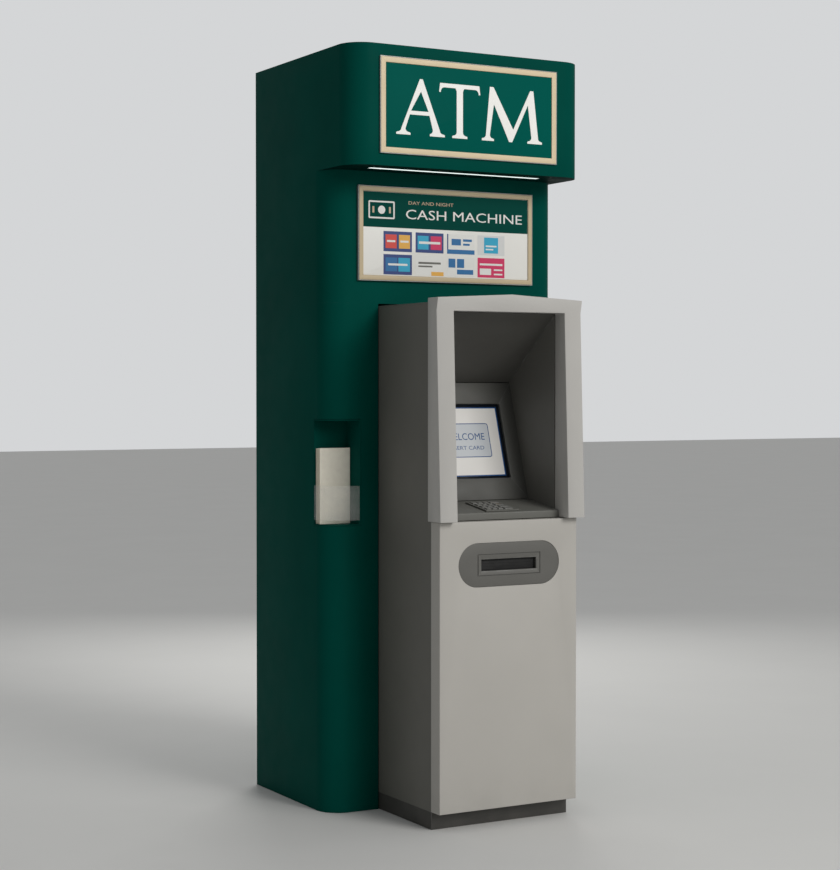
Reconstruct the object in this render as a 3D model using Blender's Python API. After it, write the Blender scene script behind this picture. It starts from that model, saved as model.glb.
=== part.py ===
"""Lobby cash machine standing in a green surround tower with a projecting lit canopy.

Metres, +Z up, the front faces -Y, the origin is on the floor at the centre of the footprint.
"""

import math

import bpy
import bmesh
from mathutils import Vector

# ---- Surround tower ----
HALF_W = 0.3830  # half the width of the tower
BACK = 0.4180  # rear plane of the tower
FRONT = -0.0530  # front plane of the tower
CANOPY_FRONT = -0.1940  # front plane of the canopy
HEIGHT = 2.1340
SOFFIT_Z = 1.8020  # underside of the canopy
CORNER_R = 0.0706  # rounded vertical corners
BOARD = 0.0180  # laminated board
GAP = 0.0003  # joint line between neighbouring pieces
ARC_STEPS = 12
CUT_HALF_W = 0.2222  # opening the machine stands in
CUT_TOP = 1.4310

# ---- Envelope niche in the left front corner ----
NICHE_U = 0.1065  # from the left side plane
NICHE_V = 0.0870  # from the front plane
NICHE_Z0 = 0.8060
NICHE_Z1 = 1.1060
LINER = 0.0040
BAND_Z0 = 0.8215
BAND_Z1 = 0.9187
BAND_T = 0.0020
ENVELOPE_U = (0.0048, 0.1012)  # left and right ends, from the left side plane
ENVELOPE_DEPTH = 0.0270
ENVELOPE_H = 0.2140

# ---- Canopy sign, information panel and downlight ----
SIGN_X = 0.2885
SIGN_SHIFT = -0.0060  # the sign stands a little left of the middle
SIGN_Z = (1.8353, 2.1008)
SIGN_BORDER = 0.0172
SIGN_DEPTH = 0.0060
SIGN_WINDOW = 0.0300  # inset of the light box from the frame's outer edge
HINGE_R = 0.0030
INFO_X = 0.2895
INFO_Z = (1.4950, 1.7615)
INFO_BORDER = 0.0180
INFO_DEPTH = 0.0100
LENS_X = (-0.2885, 0.2720)
LENS_Y = (-0.1390, -0.1005)
LENS_T = 0.0120

# ---- Machine cabinet ----
BODY_HALF_W = 0.2195
BODY_FRONT = -0.3485
BODY_BACK = 0.2115
BODY_TOP = 1.4245
SHEET = 0.0020
PLINTH_H = 0.0475
SAFE_X = 0.2020
SAFE_Y = (-0.3300, 0.1800)
SAFE_Z = (0.0540, 0.7000)
SAFE_T = 0.0100

# ---- Fascia hood ----
HOOD_HALF_W = 0.2318
HOOD_TOP_Y = -0.4040
HOOD_CREASE_Y = -0.3965
HOOD_BOTTOM_Y = -0.4180
HOOD_BACK_Y = -0.3495
HOOD_SHOULDER_Z = 1.4350
HOOD_PEAK_Z = 1.4470
HOOD_CREASE_Z = 1.4000
HOOD_BOTTOM_Z = 0.8345
MOUTH_HALF_W = 0.1780
FASCIA_PIVOT = (-0.3490, 1.4300)  # y, z of the hinge above the cabinet

# ---- Recess behind the hood (y, z) ----
CEILING_FRONT = (-0.3490, 1.4000)
CEILING_BACK = (-0.1135, 1.2112)
SLOPE_FOOT = (-0.2158, 0.8771)
SHELF_LIP = (-0.3695, 0.8542)
SHELF_T = 0.0050
PANEL_T = 0.0040
SCREEN_FROM_TOP = (0.0657, 0.2852)  # along the slope
SCREEN_HALF_W = 0.1305
SCREEN_SET_BACK = 0.0080
READER_AT = 0.3230  # along the slope
READER_X = -0.1180
READER_SIZE = (0.0860, 0.0440, 0.0140)
READER_SLOT = (0.0580, 0.0030)

# ---- Keypad on the shelf ----
PAD_SIZE = (0.1060, 0.1130, 0.0040)
PAD_AT = 0.0895  # centre, along the shelf from its rear edge
KEY_COLUMNS = (-0.0375, -0.0187, 0.0001, 0.0262)
KEY_WIDTHS = (0.0150, 0.0150, 0.0150, 0.0270)
KEY_PITCH = 0.0250
KEY_DEPTH = 0.0190
KEY_H = 0.0047
KEY_LIFT = 0.0018
KEY_CLEARANCE = 0.0005
KEY_NAMES = (
    ("1", "2", "3", "cancel"),
    ("4", "5", "6", "clear"),
    ("7", "8", "9", "enter"),
    ("star", "0", "hash", "blank"),
)

# ---- Lower door and cash slot ----
DOOR_HALF_W = 0.2205
DOOR_FRONT = -0.3947
DOOR_BACK = -0.3490
DOOR_Z = (0.0484, 0.8325)
DOOR_SKIN = 0.0030
BEZEL_X = 0.1615
BEZEL_Z = (0.6545, 0.7738)
BEZEL_T = 0.0100
BEZEL_INSET = 0.0015
GROOVE_X = 0.1008
GROOVE_Z = (0.6839, 0.7431)
GROOVE_W = 0.0030
SLOT_X = 0.0882
SLOT_Z = (0.6975, 0.7289)
SHUTTER_T = 0.0020
LOCK_AT = (-0.3700, 0.4500)
LOCK_R = 0.0110
BOLT_X = (0.2060, 0.2145)


def clear_scene():
    """Remove everything the start-up scene holds."""
    for thing in list(bpy.data.objects):
        bpy.data.objects.remove(thing, do_unlink=True)


def finish(name, colour, roughness, metallic=0.0):
    """A Principled material."""
    material = bpy.data.materials.new(name)
    material.use_nodes = True
    shader = material.node_tree.nodes["Principled BSDF"]
    shader.inputs["Base Color"].default_value = (*colour, 1.0)
    shader.inputs["Roughness"].default_value = roughness
    shader.inputs["Metallic"].default_value = metallic
    return material


def solid(name, corners, faces, material):
    """A closed mesh object from corners and faces, its normals facing out."""
    mesh = bpy.data.meshes.new(name)
    mesh.from_pydata([tuple(c) for c in corners], [], faces)
    work = bmesh.new()
    work.from_mesh(mesh)
    bmesh.ops.recalc_face_normals(work, faces=work.faces)
    work.to_mesh(mesh)
    work.free()
    obj = bpy.data.objects.new(name, mesh)
    bpy.context.scene.collection.objects.link(obj)
    if material:
        mesh.materials.append(material)
    return obj


def prism(name, outline, axis, low, high, material):
    """An outline in the plane across axis, extruded from low to high.

    The outline's pairs are (y, z) across X, (x, z) across Y and (x, y) across Z.
    """
    def place(pair, along):
        spread = list(pair)
        spread.insert("XYZ".index(axis), along)
        return spread

    count = len(outline)
    corners = [place(pair, low) for pair in outline] + [place(pair, high) for pair in outline]
    faces = [tuple(range(count)), tuple(range(count, 2 * count))]
    for i in range(count):
        j = (i + 1) % count
        faces.append((i, j, count + j, count + i))
    return solid(name, corners, faces, material)


def box(name, xs, ys, zs, material):
    """An upright box between pairs of limits."""
    outline = [(xs[0], ys[0]), (xs[1], ys[0]), (xs[1], ys[1]), (xs[0], ys[1])]
    return prism(name, outline, "Z", zs[0], zs[1], material)


def arc(centre, radius, start, end, steps=ARC_STEPS):
    """Points along an arc, angles in degrees."""
    points = []
    for i in range(steps + 1):
        angle = math.radians(start + (end - start) * i / steps)
        points.append((centre[0] + radius * math.cos(angle), centre[1] + radius * math.sin(angle)))
    return points


def stadium(half_width, z_low, z_high, grow=0.0):
    """A straight-sided outline with round ends, in (x, z)."""
    radius = (z_high - z_low) / 2
    middle = (z_high + z_low) / 2
    centre = half_width - radius
    right = arc((centre, middle), radius + grow, -90, 90)
    left = arc((-centre, middle), radius + grow, 90, 270)
    return right + left


def cut(target, *cutters):
    """Subtract cutters with exact Booleans; the cutters stay as hidden helpers."""
    for cutter in cutters:
        cutter.hide_render = True
        cutter.display_type = "WIRE"
        modifier = target.modifiers.new("cut_" + cutter.name, "BOOLEAN")
        modifier.operation = "DIFFERENCE"
        modifier.solver = "EXACT"
        modifier.object = cutter


def cutter_box(name, xs, ys, zs):
    """A box that cuts."""
    return box("cutter_" + name, xs, ys, zs, None)


def set_origin(obj, point):
    """Move the object's origin to point without moving its mesh."""
    target = Vector(point)
    for vertex in obj.data.vertices:
        vertex.co -= target
    obj.location = target


def corner_outline(u_end, v_end, front, side, radius=CORNER_R, wall=BOARD):
    """Plan of a board bent round the tower's front corner; side is -1 left, +1 right."""
    outer = [(0.0, v_end)] + arc((radius, radius), radius, 180, 270) + [(u_end, 0.0)]
    inner = [(u_end, wall)] + arc((radius, radius), radius - wall, 270, 180) + [(wall, v_end)]
    plan = dict.fromkeys((round(u, 6), round(v, 6)) for u, v in outer + inner)
    return [(side * (HALF_W - u), front + v) for u, v in plan]


def on_slope(along, off=0.0):
    """(y, z) of a point on the inclined panel, off measured out towards the customer."""
    top = Vector(CEILING_BACK)
    run = (Vector(SLOPE_FOOT) - top).normalized()
    out = Vector((run.y, -run.x))
    return tuple(top + run * along + out * off)


def on_shelf(along, off=0.0):
    """(y, z) of a point on the shelf, off measured up from it."""
    rear = Vector(SLOPE_FOOT)
    run = (Vector(SHELF_LIP) - rear).normalized()
    out = Vector((run.y, -run.x))
    return tuple(rear + run * along + out * off)


def slab(name, place, alongs, offs, xs, material):
    """A board on the slope or shelf: place is on_slope or on_shelf."""
    outline = [
        place(alongs[0], offs[0]),
        place(alongs[1], offs[0]),
        place(alongs[1], offs[1]),
        place(alongs[0], offs[1]),
    ]
    return prism(name, outline, "X", xs[0], xs[1], material)


def make_side_panels(green):
    """Flat sides of the tower, behind the bent corners."""
    ys = (FRONT + NICHE_V + GAP, BACK)
    box("side_panel_left", (-HALF_W, -HALF_W + BOARD), ys, (0.0, SOFFIT_Z - GAP), green)
    box("side_panel_right", (HALF_W - BOARD, HALF_W), ys, (0.0, SOFFIT_Z - GAP), green)


def make_left_corner(green):
    """Bent corner in two lengths, below and above the envelope niche."""
    plan = corner_outline(NICHE_U - GAP, NICHE_V, FRONT, -1)
    prism("corner_left_lower", plan, "Z", 0.0, NICHE_Z0 - GAP, green)
    prism("corner_left_upper", plan, "Z", NICHE_Z1 + GAP, SOFFIT_Z - GAP, green)


def make_front_boards(green):
    """Left jamb, bent right corner with its jamb, and the header over the machine."""
    left = -HALF_W + NICHE_U
    ys = (FRONT, FRONT + BOARD)
    box("jamb_left", (left, -CUT_HALF_W), ys, (0.0, CUT_TOP - GAP), green)
    plan = corner_outline(HALF_W - CUT_HALF_W, NICHE_V, FRONT, 1)
    prism("corner_right", plan, "Z", 0.0, SOFFIT_Z - GAP, green)
    header_x = (left, CUT_HALF_W - GAP)
    box("header_panel", header_x, ys, (CUT_TOP, SOFFIT_Z - GAP), green)


def make_canopy(green):
    """Box canopy: two sides bent round the front, front board, soffit and top."""
    depth = BACK - CANOPY_FRONT
    for side, name in ((-1, "canopy_side_left"), (1, "canopy_side_right")):
        plan = corner_outline(CORNER_R, depth, CANOPY_FRONT, side)
        prism(name, plan, "Z", SOFFIT_Z, HEIGHT - BOARD - GAP, green)
    flat = HALF_W - CORNER_R - GAP
    front = box(
        "canopy_front",
        (-flat, flat),
        (CANOPY_FRONT, CANOPY_FRONT + BOARD),
        (SOFFIT_Z, HEIGHT - BOARD - GAP),
        green,
    )
    window_x = SIGN_X - SIGN_WINDOW
    cut(
        front,
        cutter_box(
            "sign_window",
            (SIGN_SHIFT - window_x, SIGN_SHIFT + window_x),
            (CANOPY_FRONT - BOARD, CANOPY_FRONT + 2 * BOARD),
            (SIGN_Z[0] + SIGN_WINDOW, SIGN_Z[1] - SIGN_WINDOW),
        ),
    )
    make_soffit(green)
    reach = HALF_W - CORNER_R
    outline = arc((-reach, CANOPY_FRONT + CORNER_R), CORNER_R, 180, 270)
    outline += arc((reach, CANOPY_FRONT + CORNER_R), CORNER_R, 270, 360)
    outline += [(HALF_W, BACK), (-HALF_W, BACK)]
    prism("canopy_top", outline, "Z", HEIGHT - BOARD, HEIGHT, green)


def make_soffit(green):
    """Underside board inside the canopy's walls, slotted for the downlight."""
    inner = HALF_W - BOARD - GAP
    radius = CORNER_R - BOARD
    front = CANOPY_FRONT + BOARD + GAP
    outline = arc((-inner + radius, front + radius), radius, 180, 270)
    outline += arc((inner - radius, front + radius), radius, 270, 360)
    outline += [(inner, FRONT + 2 * BOARD), (-inner, FRONT + 2 * BOARD)]
    soffit = prism("canopy_soffit", outline, "Z", SOFFIT_Z, SOFFIT_Z + BOARD, green)
    slot = cutter_box(
        "lens_slot",
        (LENS_X[0] - GAP, LENS_X[1] + GAP),
        (LENS_Y[0] - GAP, LENS_Y[1] + GAP),
        (SOFFIT_Z - BOARD, SOFFIT_Z + 2 * BOARD),
    )
    cut(soffit, slot)


def make_downlight(white):
    """Opal lens set flush in the soffit."""
    box("downlight_lens", LENS_X, LENS_Y, (SOFFIT_Z + GAP, SOFFIT_Z + LENS_T), white)


def make_rear(green):
    """Fixed rear board above, hinged service door below, set between the sides."""
    half = HALF_W - BOARD - 4 * GAP
    ys = (BACK - BOARD, BACK)
    top = HEIGHT - BOARD - GAP
    box("rear_panel", (-half, half), ys, (CUT_TOP + 0.002, top), green)
    door = box("rear_door", (-half, half), ys, (0.012, CUT_TOP), green)
    set_origin(door, (-half, BACK, 0.012))
    cut(door, *rear_vents())


def rear_vents():
    """Three slots that let the machine breathe."""
    vents = []
    for i in range(3):
        z = 1.20 + 0.04 * i
        vents.append(
            cutter_box(f"vent_{i}", (-0.12, 0.12), (BACK - 0.04, BACK + 0.02), (z, z + 0.012))
        )
    return vents


def make_niche(green):
    """Liner of the envelope niche: two walls, a floor and a ceiling in one folded piece."""
    u1, v1 = NICHE_U - GAP, NICHE_V - GAP
    z0, z1 = NICHE_Z0, NICHE_Z1
    left, front = -HALF_W, FRONT
    plan = corner_plate(u1, v1)
    liner = prism("niche_liner", plan, "Z", z0, z1, green)
    room = cutter_box(
        "niche_room",
        (left - 0.02, left + u1 - LINER),
        (front - 0.02, front + v1 - LINER),
        (z0 + LINER, z1 - LINER),
    )
    cut(liner, room)


def corner_plate(u_end, v_end, inset=0.0):
    """Plan of a plate that fills the rounded left front corner."""
    outer = arc((CORNER_R, CORNER_R), CORNER_R - inset, 180, 270)
    plan = [(inset, v_end)] + outer + [(u_end, inset), (u_end, v_end)]
    return [(-HALF_W + u, FRONT + v) for u, v in plan]


def make_retainer(clear):
    """Clear band across the lower part of the niche, following the rounded corner."""
    inset = LINER + 3 * GAP
    plan = corner_outline(NICHE_U - inset, NICHE_V - inset, FRONT, -1, wall=BAND_T)
    prism("envelope_retainer", plan, "Z", BAND_Z0, BAND_Z1, clear)


def make_envelopes(paper):
    """Stack of deposit envelopes standing in the niche."""
    x0, x1 = (-HALF_W + u for u in ENVELOPE_U)
    rear = FRONT + NICHE_V - LINER - 2 * GAP
    low = NICHE_Z0 + LINER + GAP
    ys = (rear - ENVELOPE_DEPTH, rear)
    stack = box("envelope_stack", (x0, x1), ys, (low, low + ENVELOPE_H), paper)
    set_origin(stack, (x0, ys[0], low))


def frame_ring(name, xs, zs, border, ys, material):
    """A flat rectangular frame."""
    ring = box(name, xs, ys, zs, material)
    hole = cutter_box(
        name + "_opening",
        (xs[0] + border, xs[1] - border),
        (ys[0] - 0.01, ys[1] + 0.01),
        (zs[0] + border, zs[1] - border),
    )
    cut(ring, hole)
    return ring


def make_sign(tan, face_green):
    """Hinged frame with the green sign face behind it."""
    back = CANOPY_FRONT - 2 * GAP
    xs = (SIGN_SHIFT - SIGN_X, SIGN_SHIFT + SIGN_X)
    ring = frame_ring("sign_frame", xs, SIGN_Z, SIGN_BORDER, (back - SIGN_DEPTH, back), tan)
    pivot = (0.0, back, SIGN_Z[1])
    inner = SIGN_X - SIGN_BORDER - GAP
    face = box(
        "sign_face",
        (SIGN_SHIFT - inner, SIGN_SHIFT + inner),
        (back - SIGN_DEPTH + 0.0015, back),
        (SIGN_Z[0] + SIGN_BORDER + GAP, SIGN_Z[1] - SIGN_BORDER - GAP),
        face_green,
    )
    set_origin(ring, pivot)
    set_origin(face, pivot)


def make_info_panel(tan, white):
    """Framed information panel on the tower's front."""
    back = FRONT - GAP
    xs = (-INFO_X, INFO_X)
    frame_ring("info_frame", xs, INFO_Z, INFO_BORDER, (back - INFO_DEPTH, back), tan)
    inner = INFO_X - INFO_BORDER - GAP
    box(
        "info_panel",
        (-inner, inner),
        (back - INFO_DEPTH + 0.0025, back),
        (INFO_Z[0] + INFO_BORDER + GAP, INFO_Z[1] - INFO_BORDER - GAP),
        white,
    )


def make_cabinet(grey, dark):
    """Plinth and sheet-metal cabinet of the machine."""
    box(
        "plinth",
        (-BODY_HALF_W, BODY_HALF_W),
        (BODY_FRONT, BODY_BACK),
        (0.0, PLINTH_H),
        dark,
    )
    low = PLINTH_H + GAP
    top = BODY_TOP - SHEET - GAP
    ys = (BODY_FRONT, BODY_BACK - SHEET - GAP)
    inner = BODY_HALF_W - SHEET
    box("cabinet_side_left", (-BODY_HALF_W, -inner), ys, (low, top), grey)
    box("cabinet_side_right", (inner, BODY_HALF_W), ys, (low, top), grey)
    box(
        "cabinet_top",
        (-BODY_HALF_W, BODY_HALF_W),
        (BODY_FRONT, BODY_BACK),
        (BODY_TOP - SHEET, BODY_TOP),
        grey,
    )
    box(
        "cabinet_back",
        (-BODY_HALF_W, BODY_HALF_W),
        (BODY_BACK - SHEET, BODY_BACK),
        (low, top),
        grey,
    )


def make_safe(steel):
    """Open-fronted steel box that the lower door closes."""
    safe = box("safe_shell", (-SAFE_X, SAFE_X), SAFE_Y, SAFE_Z, steel)
    room = cutter_box(
        "safe_room",
        (-SAFE_X + SAFE_T, SAFE_X - SAFE_T),
        (SAFE_Y[0] - 0.05, SAFE_Y[1] - SAFE_T),
        (SAFE_Z[0] + SAFE_T, SAFE_Z[1] - SAFE_T),
    )
    cut(safe, room)


def make_modules(dark, steel):
    """Note dispenser over its cash cassette in the safe, and the control unit above."""
    floor = SAFE_Z[0] + SAFE_T + GAP
    box("cash_cassette", (-0.100, 0.100), (-0.300, 0.100), (floor, floor + 0.130), dark)
    box(
        "note_dispenser",
        (-0.120, 0.120),
        (-0.310, 0.090),
        (floor + 0.1303, SAFE_Z[1] - SAFE_T - 0.020),
        steel,
    )
    box("control_unit", (-0.170, 0.170), (0.000, 0.190), (SAFE_Z[1] + 0.002, 1.050), steel)


def hood_outline():
    """Front view of the hood: a gabled frame round the mouth, open at its foot."""
    x, m = HOOD_HALF_W, MOUTH_HALF_W
    return [
        (-x, HOOD_BOTTOM_Z),
        (-m, HOOD_BOTTOM_Z),
        (-m, HOOD_CREASE_Z),
        (m, HOOD_CREASE_Z),
        (m, HOOD_BOTTOM_Z),
        (x, HOOD_BOTTOM_Z),
        (x, HOOD_CREASE_Z),
        (x, HOOD_SHOULDER_Z),
        (0.0, HOOD_PEAK_Z),
        (-x, HOOD_SHOULDER_Z),
        (-x, HOOD_CREASE_Z),
    ]


def make_hood(light):
    """Light grey hood; its face leans out above and below the crease."""
    hood = prism("hood_frame", hood_outline(), "Y", HOOD_BACK_Y - 0.09, HOOD_BACK_Y, light)
    lift = HOOD_PEAK_Z + 0.02
    slope = (HOOD_TOP_Y - HOOD_CREASE_Y) / (HOOD_SHOULDER_Z - HOOD_CREASE_Z)
    top_y = HOOD_CREASE_Y + slope * (lift - HOOD_CREASE_Z)
    drop = HOOD_BOTTOM_Z - 0.02
    fall = (HOOD_BOTTOM_Y - HOOD_CREASE_Y) / (HOOD_CREASE_Z - HOOD_BOTTOM_Z)
    low_y = HOOD_CREASE_Y + fall * (HOOD_CREASE_Z - drop)
    far = HOOD_BACK_Y - 0.12
    outline = [(top_y, lift), (HOOD_CREASE_Y, HOOD_CREASE_Z), (low_y, drop), (far, drop), (far, lift)]
    wide = HOOD_HALF_W + 0.02
    cut(hood, prism("cutter_hood_face", outline, "X", -wide, wide, None))
    set_origin(hood, (0.0, *FASCIA_PIVOT))


def make_recess(dark):
    """Side walls and sloping ceiling of the recess, one folded sheet."""
    top = Vector(CEILING_FRONT)
    back = Vector(CEILING_BACK)
    run = (back - top).normalized()
    over = Vector((-run.y, run.x)) * SHEET
    if over.y < 0:
        over = -over
    rear = Vector(on_slope(0.0, -PANEL_T - 0.001))
    foot = Vector(on_shelf(0.0, -SHELF_T)) + Vector((0.006, 0.0))
    front_low = (CEILING_FRONT[0], on_shelf(0.14, -SHELF_T)[1])
    outline = [tuple(top + over), tuple(rear + over), tuple(foot), front_low]
    wide = MOUTH_HALF_W + SHEET
    liner = prism("recess_liner", outline, "X", -wide, wide, dark)
    room = [
        tuple(top - run * 0.05),
        tuple(back + run * 0.05),
        (0.0, 1.15),
        (0.0, 0.80),
        (CEILING_FRONT[0] - 0.05, 0.80),
    ]
    inner = MOUTH_HALF_W
    cut(liner, prism("cutter_recess", room, "X", -inner, inner, None))
    set_origin(liner, (0.0, *FASCIA_PIVOT))


def make_screen(dark, glass):
    """Inclined panel with the display set back in its window."""
    length = (Vector(SLOPE_FOOT) - Vector(CEILING_BACK)).length
    wide = MOUTH_HALF_W - GAP
    panel = slab(
        "screen_bezel", on_slope, (0.003, length - 0.001), (-PANEL_T, 0.0), (-wide, wide), dark
    )
    window = slab(
        "cutter_screen",
        on_slope,
        SCREEN_FROM_TOP,
        (-0.05, 0.05),
        (-SCREEN_HALF_W, SCREEN_HALF_W),
        None,
    )
    slot_x, slot_z = READER_SLOT
    slot = slab(
        "cutter_reader",
        on_slope,
        (READER_AT - READER_SIZE[1] / 2 - GAP, READER_AT + READER_SIZE[1] / 2 + GAP),
        (-0.05, 0.05),
        (READER_X - READER_SIZE[0] / 2 - GAP, READER_X + READER_SIZE[0] / 2 + GAP),
        None,
    )
    cut(panel, window, slot)
    set_origin(panel, (0.0, *FASCIA_PIVOT))
    margin = 0.012
    display = slab(
        "display",
        on_slope,
        (SCREEN_FROM_TOP[0] - margin, SCREEN_FROM_TOP[1] + margin),
        (-SCREEN_SET_BACK - 0.012, -SCREEN_SET_BACK),
        (-SCREEN_HALF_W - margin, SCREEN_HALF_W + margin),
        glass,
    )
    set_origin(display, (0.0, *FASCIA_PIVOT))


def make_card_reader(dark):
    """Card reader mouth at the left foot of the inclined panel."""
    width, height, depth = READER_SIZE
    reader = slab(
        "card_reader",
        on_slope,
        (READER_AT - height / 2, READER_AT + height / 2),
        (-depth, 0.004),
        (READER_X - width / 2, READER_X + width / 2),
        dark,
    )
    slot = slab(
        "cutter_card_slot",
        on_slope,
        (READER_AT - READER_SLOT[1] / 2, READER_AT + READER_SLOT[1] / 2),
        (-depth + 0.003, 0.05),
        (READER_X - READER_SLOT[0] / 2, READER_X + READER_SLOT[0] / 2),
        None,
    )
    cut(reader, slot)
    set_origin(reader, (0.0, *FASCIA_PIVOT))


def make_shelf(dark):
    """Key shelf falling towards the customer, with a square front lip."""
    end = (Vector(SHELF_LIP) - Vector(SLOPE_FOOT)).length
    low = HOOD_BOTTOM_Z
    outline = [
        on_shelf(0.001),
        SHELF_LIP,
        (SHELF_LIP[0], low),
        (SHELF_LIP[0] + SHELF_T, low),
        on_shelf(end - SHELF_T * 1.2, -SHELF_T),
        on_shelf(0.001, -SHELF_T),
    ]
    wide = MOUTH_HALF_W - GAP
    shelf = prism("key_shelf", outline, "X", -wide, wide, dark)
    set_origin(shelf, (0.0, *FASCIA_PIVOT))


def key_spots():
    """(name, x, along the shelf, width) of each key."""
    spots = []
    for row, names in enumerate(KEY_NAMES):
        along = PAD_AT + (row - 1.5) * KEY_PITCH
        for name, x, width in zip(names, KEY_COLUMNS, KEY_WIDTHS):
            spots.append((name, x, along, width))
    return spots


def make_keypad(plate_grey, key_grey):
    """Pierced keypad plate and its sixteen separate keys."""
    half = PAD_SIZE[0] / 2
    reach = PAD_SIZE[1] / 2
    plate = slab(
        "keypad_plate",
        on_shelf,
        (PAD_AT - reach, PAD_AT + reach),
        (GAP, PAD_SIZE[2]),
        (-half, half),
        plate_grey,
    )
    for name, x, along, width in key_spots():
        room = slab(
            "cutter_key_" + name,
            on_shelf,
            (along - KEY_DEPTH / 2 - KEY_CLEARANCE, along + KEY_DEPTH / 2 + KEY_CLEARANCE),
            (-0.01, 0.02),
            (x - width / 2 - KEY_CLEARANCE, x + width / 2 + KEY_CLEARANCE),
            None,
        )
        cut(plate, room)
        key = slab(
            "key_" + name,
            on_shelf,
            (along - KEY_DEPTH / 2, along + KEY_DEPTH / 2),
            (KEY_LIFT, KEY_LIFT + KEY_H),
            (x - width / 2, x + width / 2),
            key_grey,
        )
        set_origin(key, (x, *on_shelf(along, KEY_LIFT)))
    set_origin(plate, (0.0, *FASCIA_PIVOT))


def make_lower_door(light):
    """Folded pan door with a round-ended opening for the cash slot bezel."""
    door = box(
        "lower_door", (-DOOR_HALF_W, DOOR_HALF_W), (DOOR_FRONT, DOOR_BACK), DOOR_Z, light
    )
    pan = cutter_box(
        "door_pan",
        (-DOOR_HALF_W + DOOR_SKIN, DOOR_HALF_W - DOOR_SKIN),
        (DOOR_FRONT + DOOR_SKIN, DOOR_BACK + 0.05),
        (DOOR_Z[0] + DOOR_SKIN, DOOR_Z[1] - DOOR_SKIN),
    )
    mouth = prism(
        "cutter_bezel_mouth",
        stadium(BEZEL_X, *BEZEL_Z, grow=GAP),
        "Y",
        DOOR_FRONT - 0.02,
        DOOR_FRONT + 0.02,
        None,
    )
    cut(door, pan, mouth)
    lock = prism(
        "cutter_lock",
        arc(LOCK_AT, LOCK_R + GAP, 0, 345, 23),
        "X",
        DOOR_HALF_W - 0.02,
        DOOR_HALF_W + 0.02,
        None,
    )
    cut(door, lock)
    set_origin(door, (-DOOR_HALF_W, DOOR_BACK, DOOR_Z[0]))


def make_cash_slot(dark, steel):
    """Round-ended bezel with a groove round its slot, and the shutter behind it."""
    front = DOOR_FRONT + BEZEL_INSET
    bezel = prism(
        "dispenser_bezel", stadium(BEZEL_X, *BEZEL_Z), "Y", front, front + BEZEL_T, dark
    )
    slot = cutter_box(
        "cash_slot", (-SLOT_X, SLOT_X), (front - 0.02, front + 0.03), SLOT_Z
    )
    groove = cutter_box(
        "groove", (-GROOVE_X, GROOVE_X), (front - 0.02, front + 0.0015), GROOVE_Z
    )
    cut(groove, cutter_box(
        "groove_island",
        (-GROOVE_X + GROOVE_W, GROOVE_X - GROOVE_W),
        (front - 0.03, front + 0.03),
        (GROOVE_Z[0] + GROOVE_W, GROOVE_Z[1] - GROOVE_W),
    ))
    cut(bezel, slot, groove)
    set_origin(bezel, (-DOOR_HALF_W, DOOR_BACK, DOOR_Z[0]))
    back = front + BEZEL_T + 0.0006
    shutter = box(
        "cash_shutter",
        (-SLOT_X - 0.003, SLOT_X + 0.003),
        (back, back + SHUTTER_T),
        (SLOT_Z[0] - 0.004, SLOT_Z[1] + 0.004),
        steel,
    )
    set_origin(shutter, (0.0, back, SLOT_Z[0]))


def make_lock(steel):
    """Key cylinder in the door's right edge and the tongue it throws."""
    y, z = LOCK_AT
    cylinder = prism(
        "lock_cylinder",
        arc(LOCK_AT, LOCK_R, 0, 345, 23),
        "X",
        DOOR_HALF_W - 0.012,
        DOOR_HALF_W + 0.002,
        steel,
    )
    keyway = cutter_box(
        "keyway",
        (DOOR_HALF_W - 0.004, DOOR_HALF_W + 0.01),
        (y - 0.0008, y + 0.0008),
        (z - 0.004, z + 0.004),
    )
    cut(cylinder, keyway)
    set_origin(cylinder, (DOOR_HALF_W, y, z))
    tongue = box("lock_bolt", BOLT_X, (-0.3900, -0.3515), (z + 0.016, z + 0.046), steel)
    set_origin(tongue, (BOLT_X[0], -0.3515, z + 0.016))


def build():
    """Make every sub-part."""
    clear_scene()
    green = finish("green_laminate", (0.004, 0.047, 0.038), 0.35)
    sign_green = finish("green_sign_face", (0.006, 0.090, 0.075), 0.30)
    tan = finish("tan_frame", (0.53, 0.42, 0.26), 0.45)
    white = finish("white_panel", (0.66, 0.66, 0.63), 0.40)
    opal = finish("opal_lens", (0.90, 0.92, 0.90), 0.30)
    clear = finish("clear_acrylic", (0.80, 0.83, 0.82), 0.08)
    paper = finish("envelope_paper", (0.55, 0.50, 0.40), 0.80)
    body_grey = finish("dark_grey_paint", (0.062, 0.060, 0.054), 0.45)
    light_grey = finish("light_grey_paint", (0.42, 0.41, 0.38), 0.42)
    recess_grey = finish("recess_grey", (0.045, 0.045, 0.042), 0.50)
    bezel_grey = finish("bezel_grey", (0.12, 0.115, 0.105), 0.45)
    key_grey = finish("key_grey", (0.10, 0.10, 0.10), 0.40)
    steel = finish("plain_steel", (0.50, 0.50, 0.50), 0.30, 1.0)
    glass = finish("display_glass", (0.02, 0.05, 0.10), 0.10)
    make_side_panels(green)
    make_left_corner(green)
    make_front_boards(green)
    make_canopy(green)
    make_downlight(opal)
    make_rear(green)
    make_niche(green)
    make_retainer(clear)
    make_envelopes(paper)
    make_sign(tan, sign_green)
    make_info_panel(tan, white)
    make_cabinet(body_grey, bezel_grey)
    make_safe(steel)
    make_modules(recess_grey, steel)
    make_hood(light_grey)
    make_recess(recess_grey)
    make_screen(recess_grey, glass)
    make_card_reader(recess_grey)
    make_shelf(recess_grey)
    make_keypad(recess_grey, key_grey)
    make_lower_door(light_grey)
    make_cash_slot(bezel_grey, steel)
    make_lock(steel)


build()
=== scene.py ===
"""Visual model of a lobby cash machine that stands in a green surround tower with a lit canopy.

Metres, +Z up, the front faces -Y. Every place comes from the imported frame's boxes and from the
sizes held in the sub-assembly classes below.
"""

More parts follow.
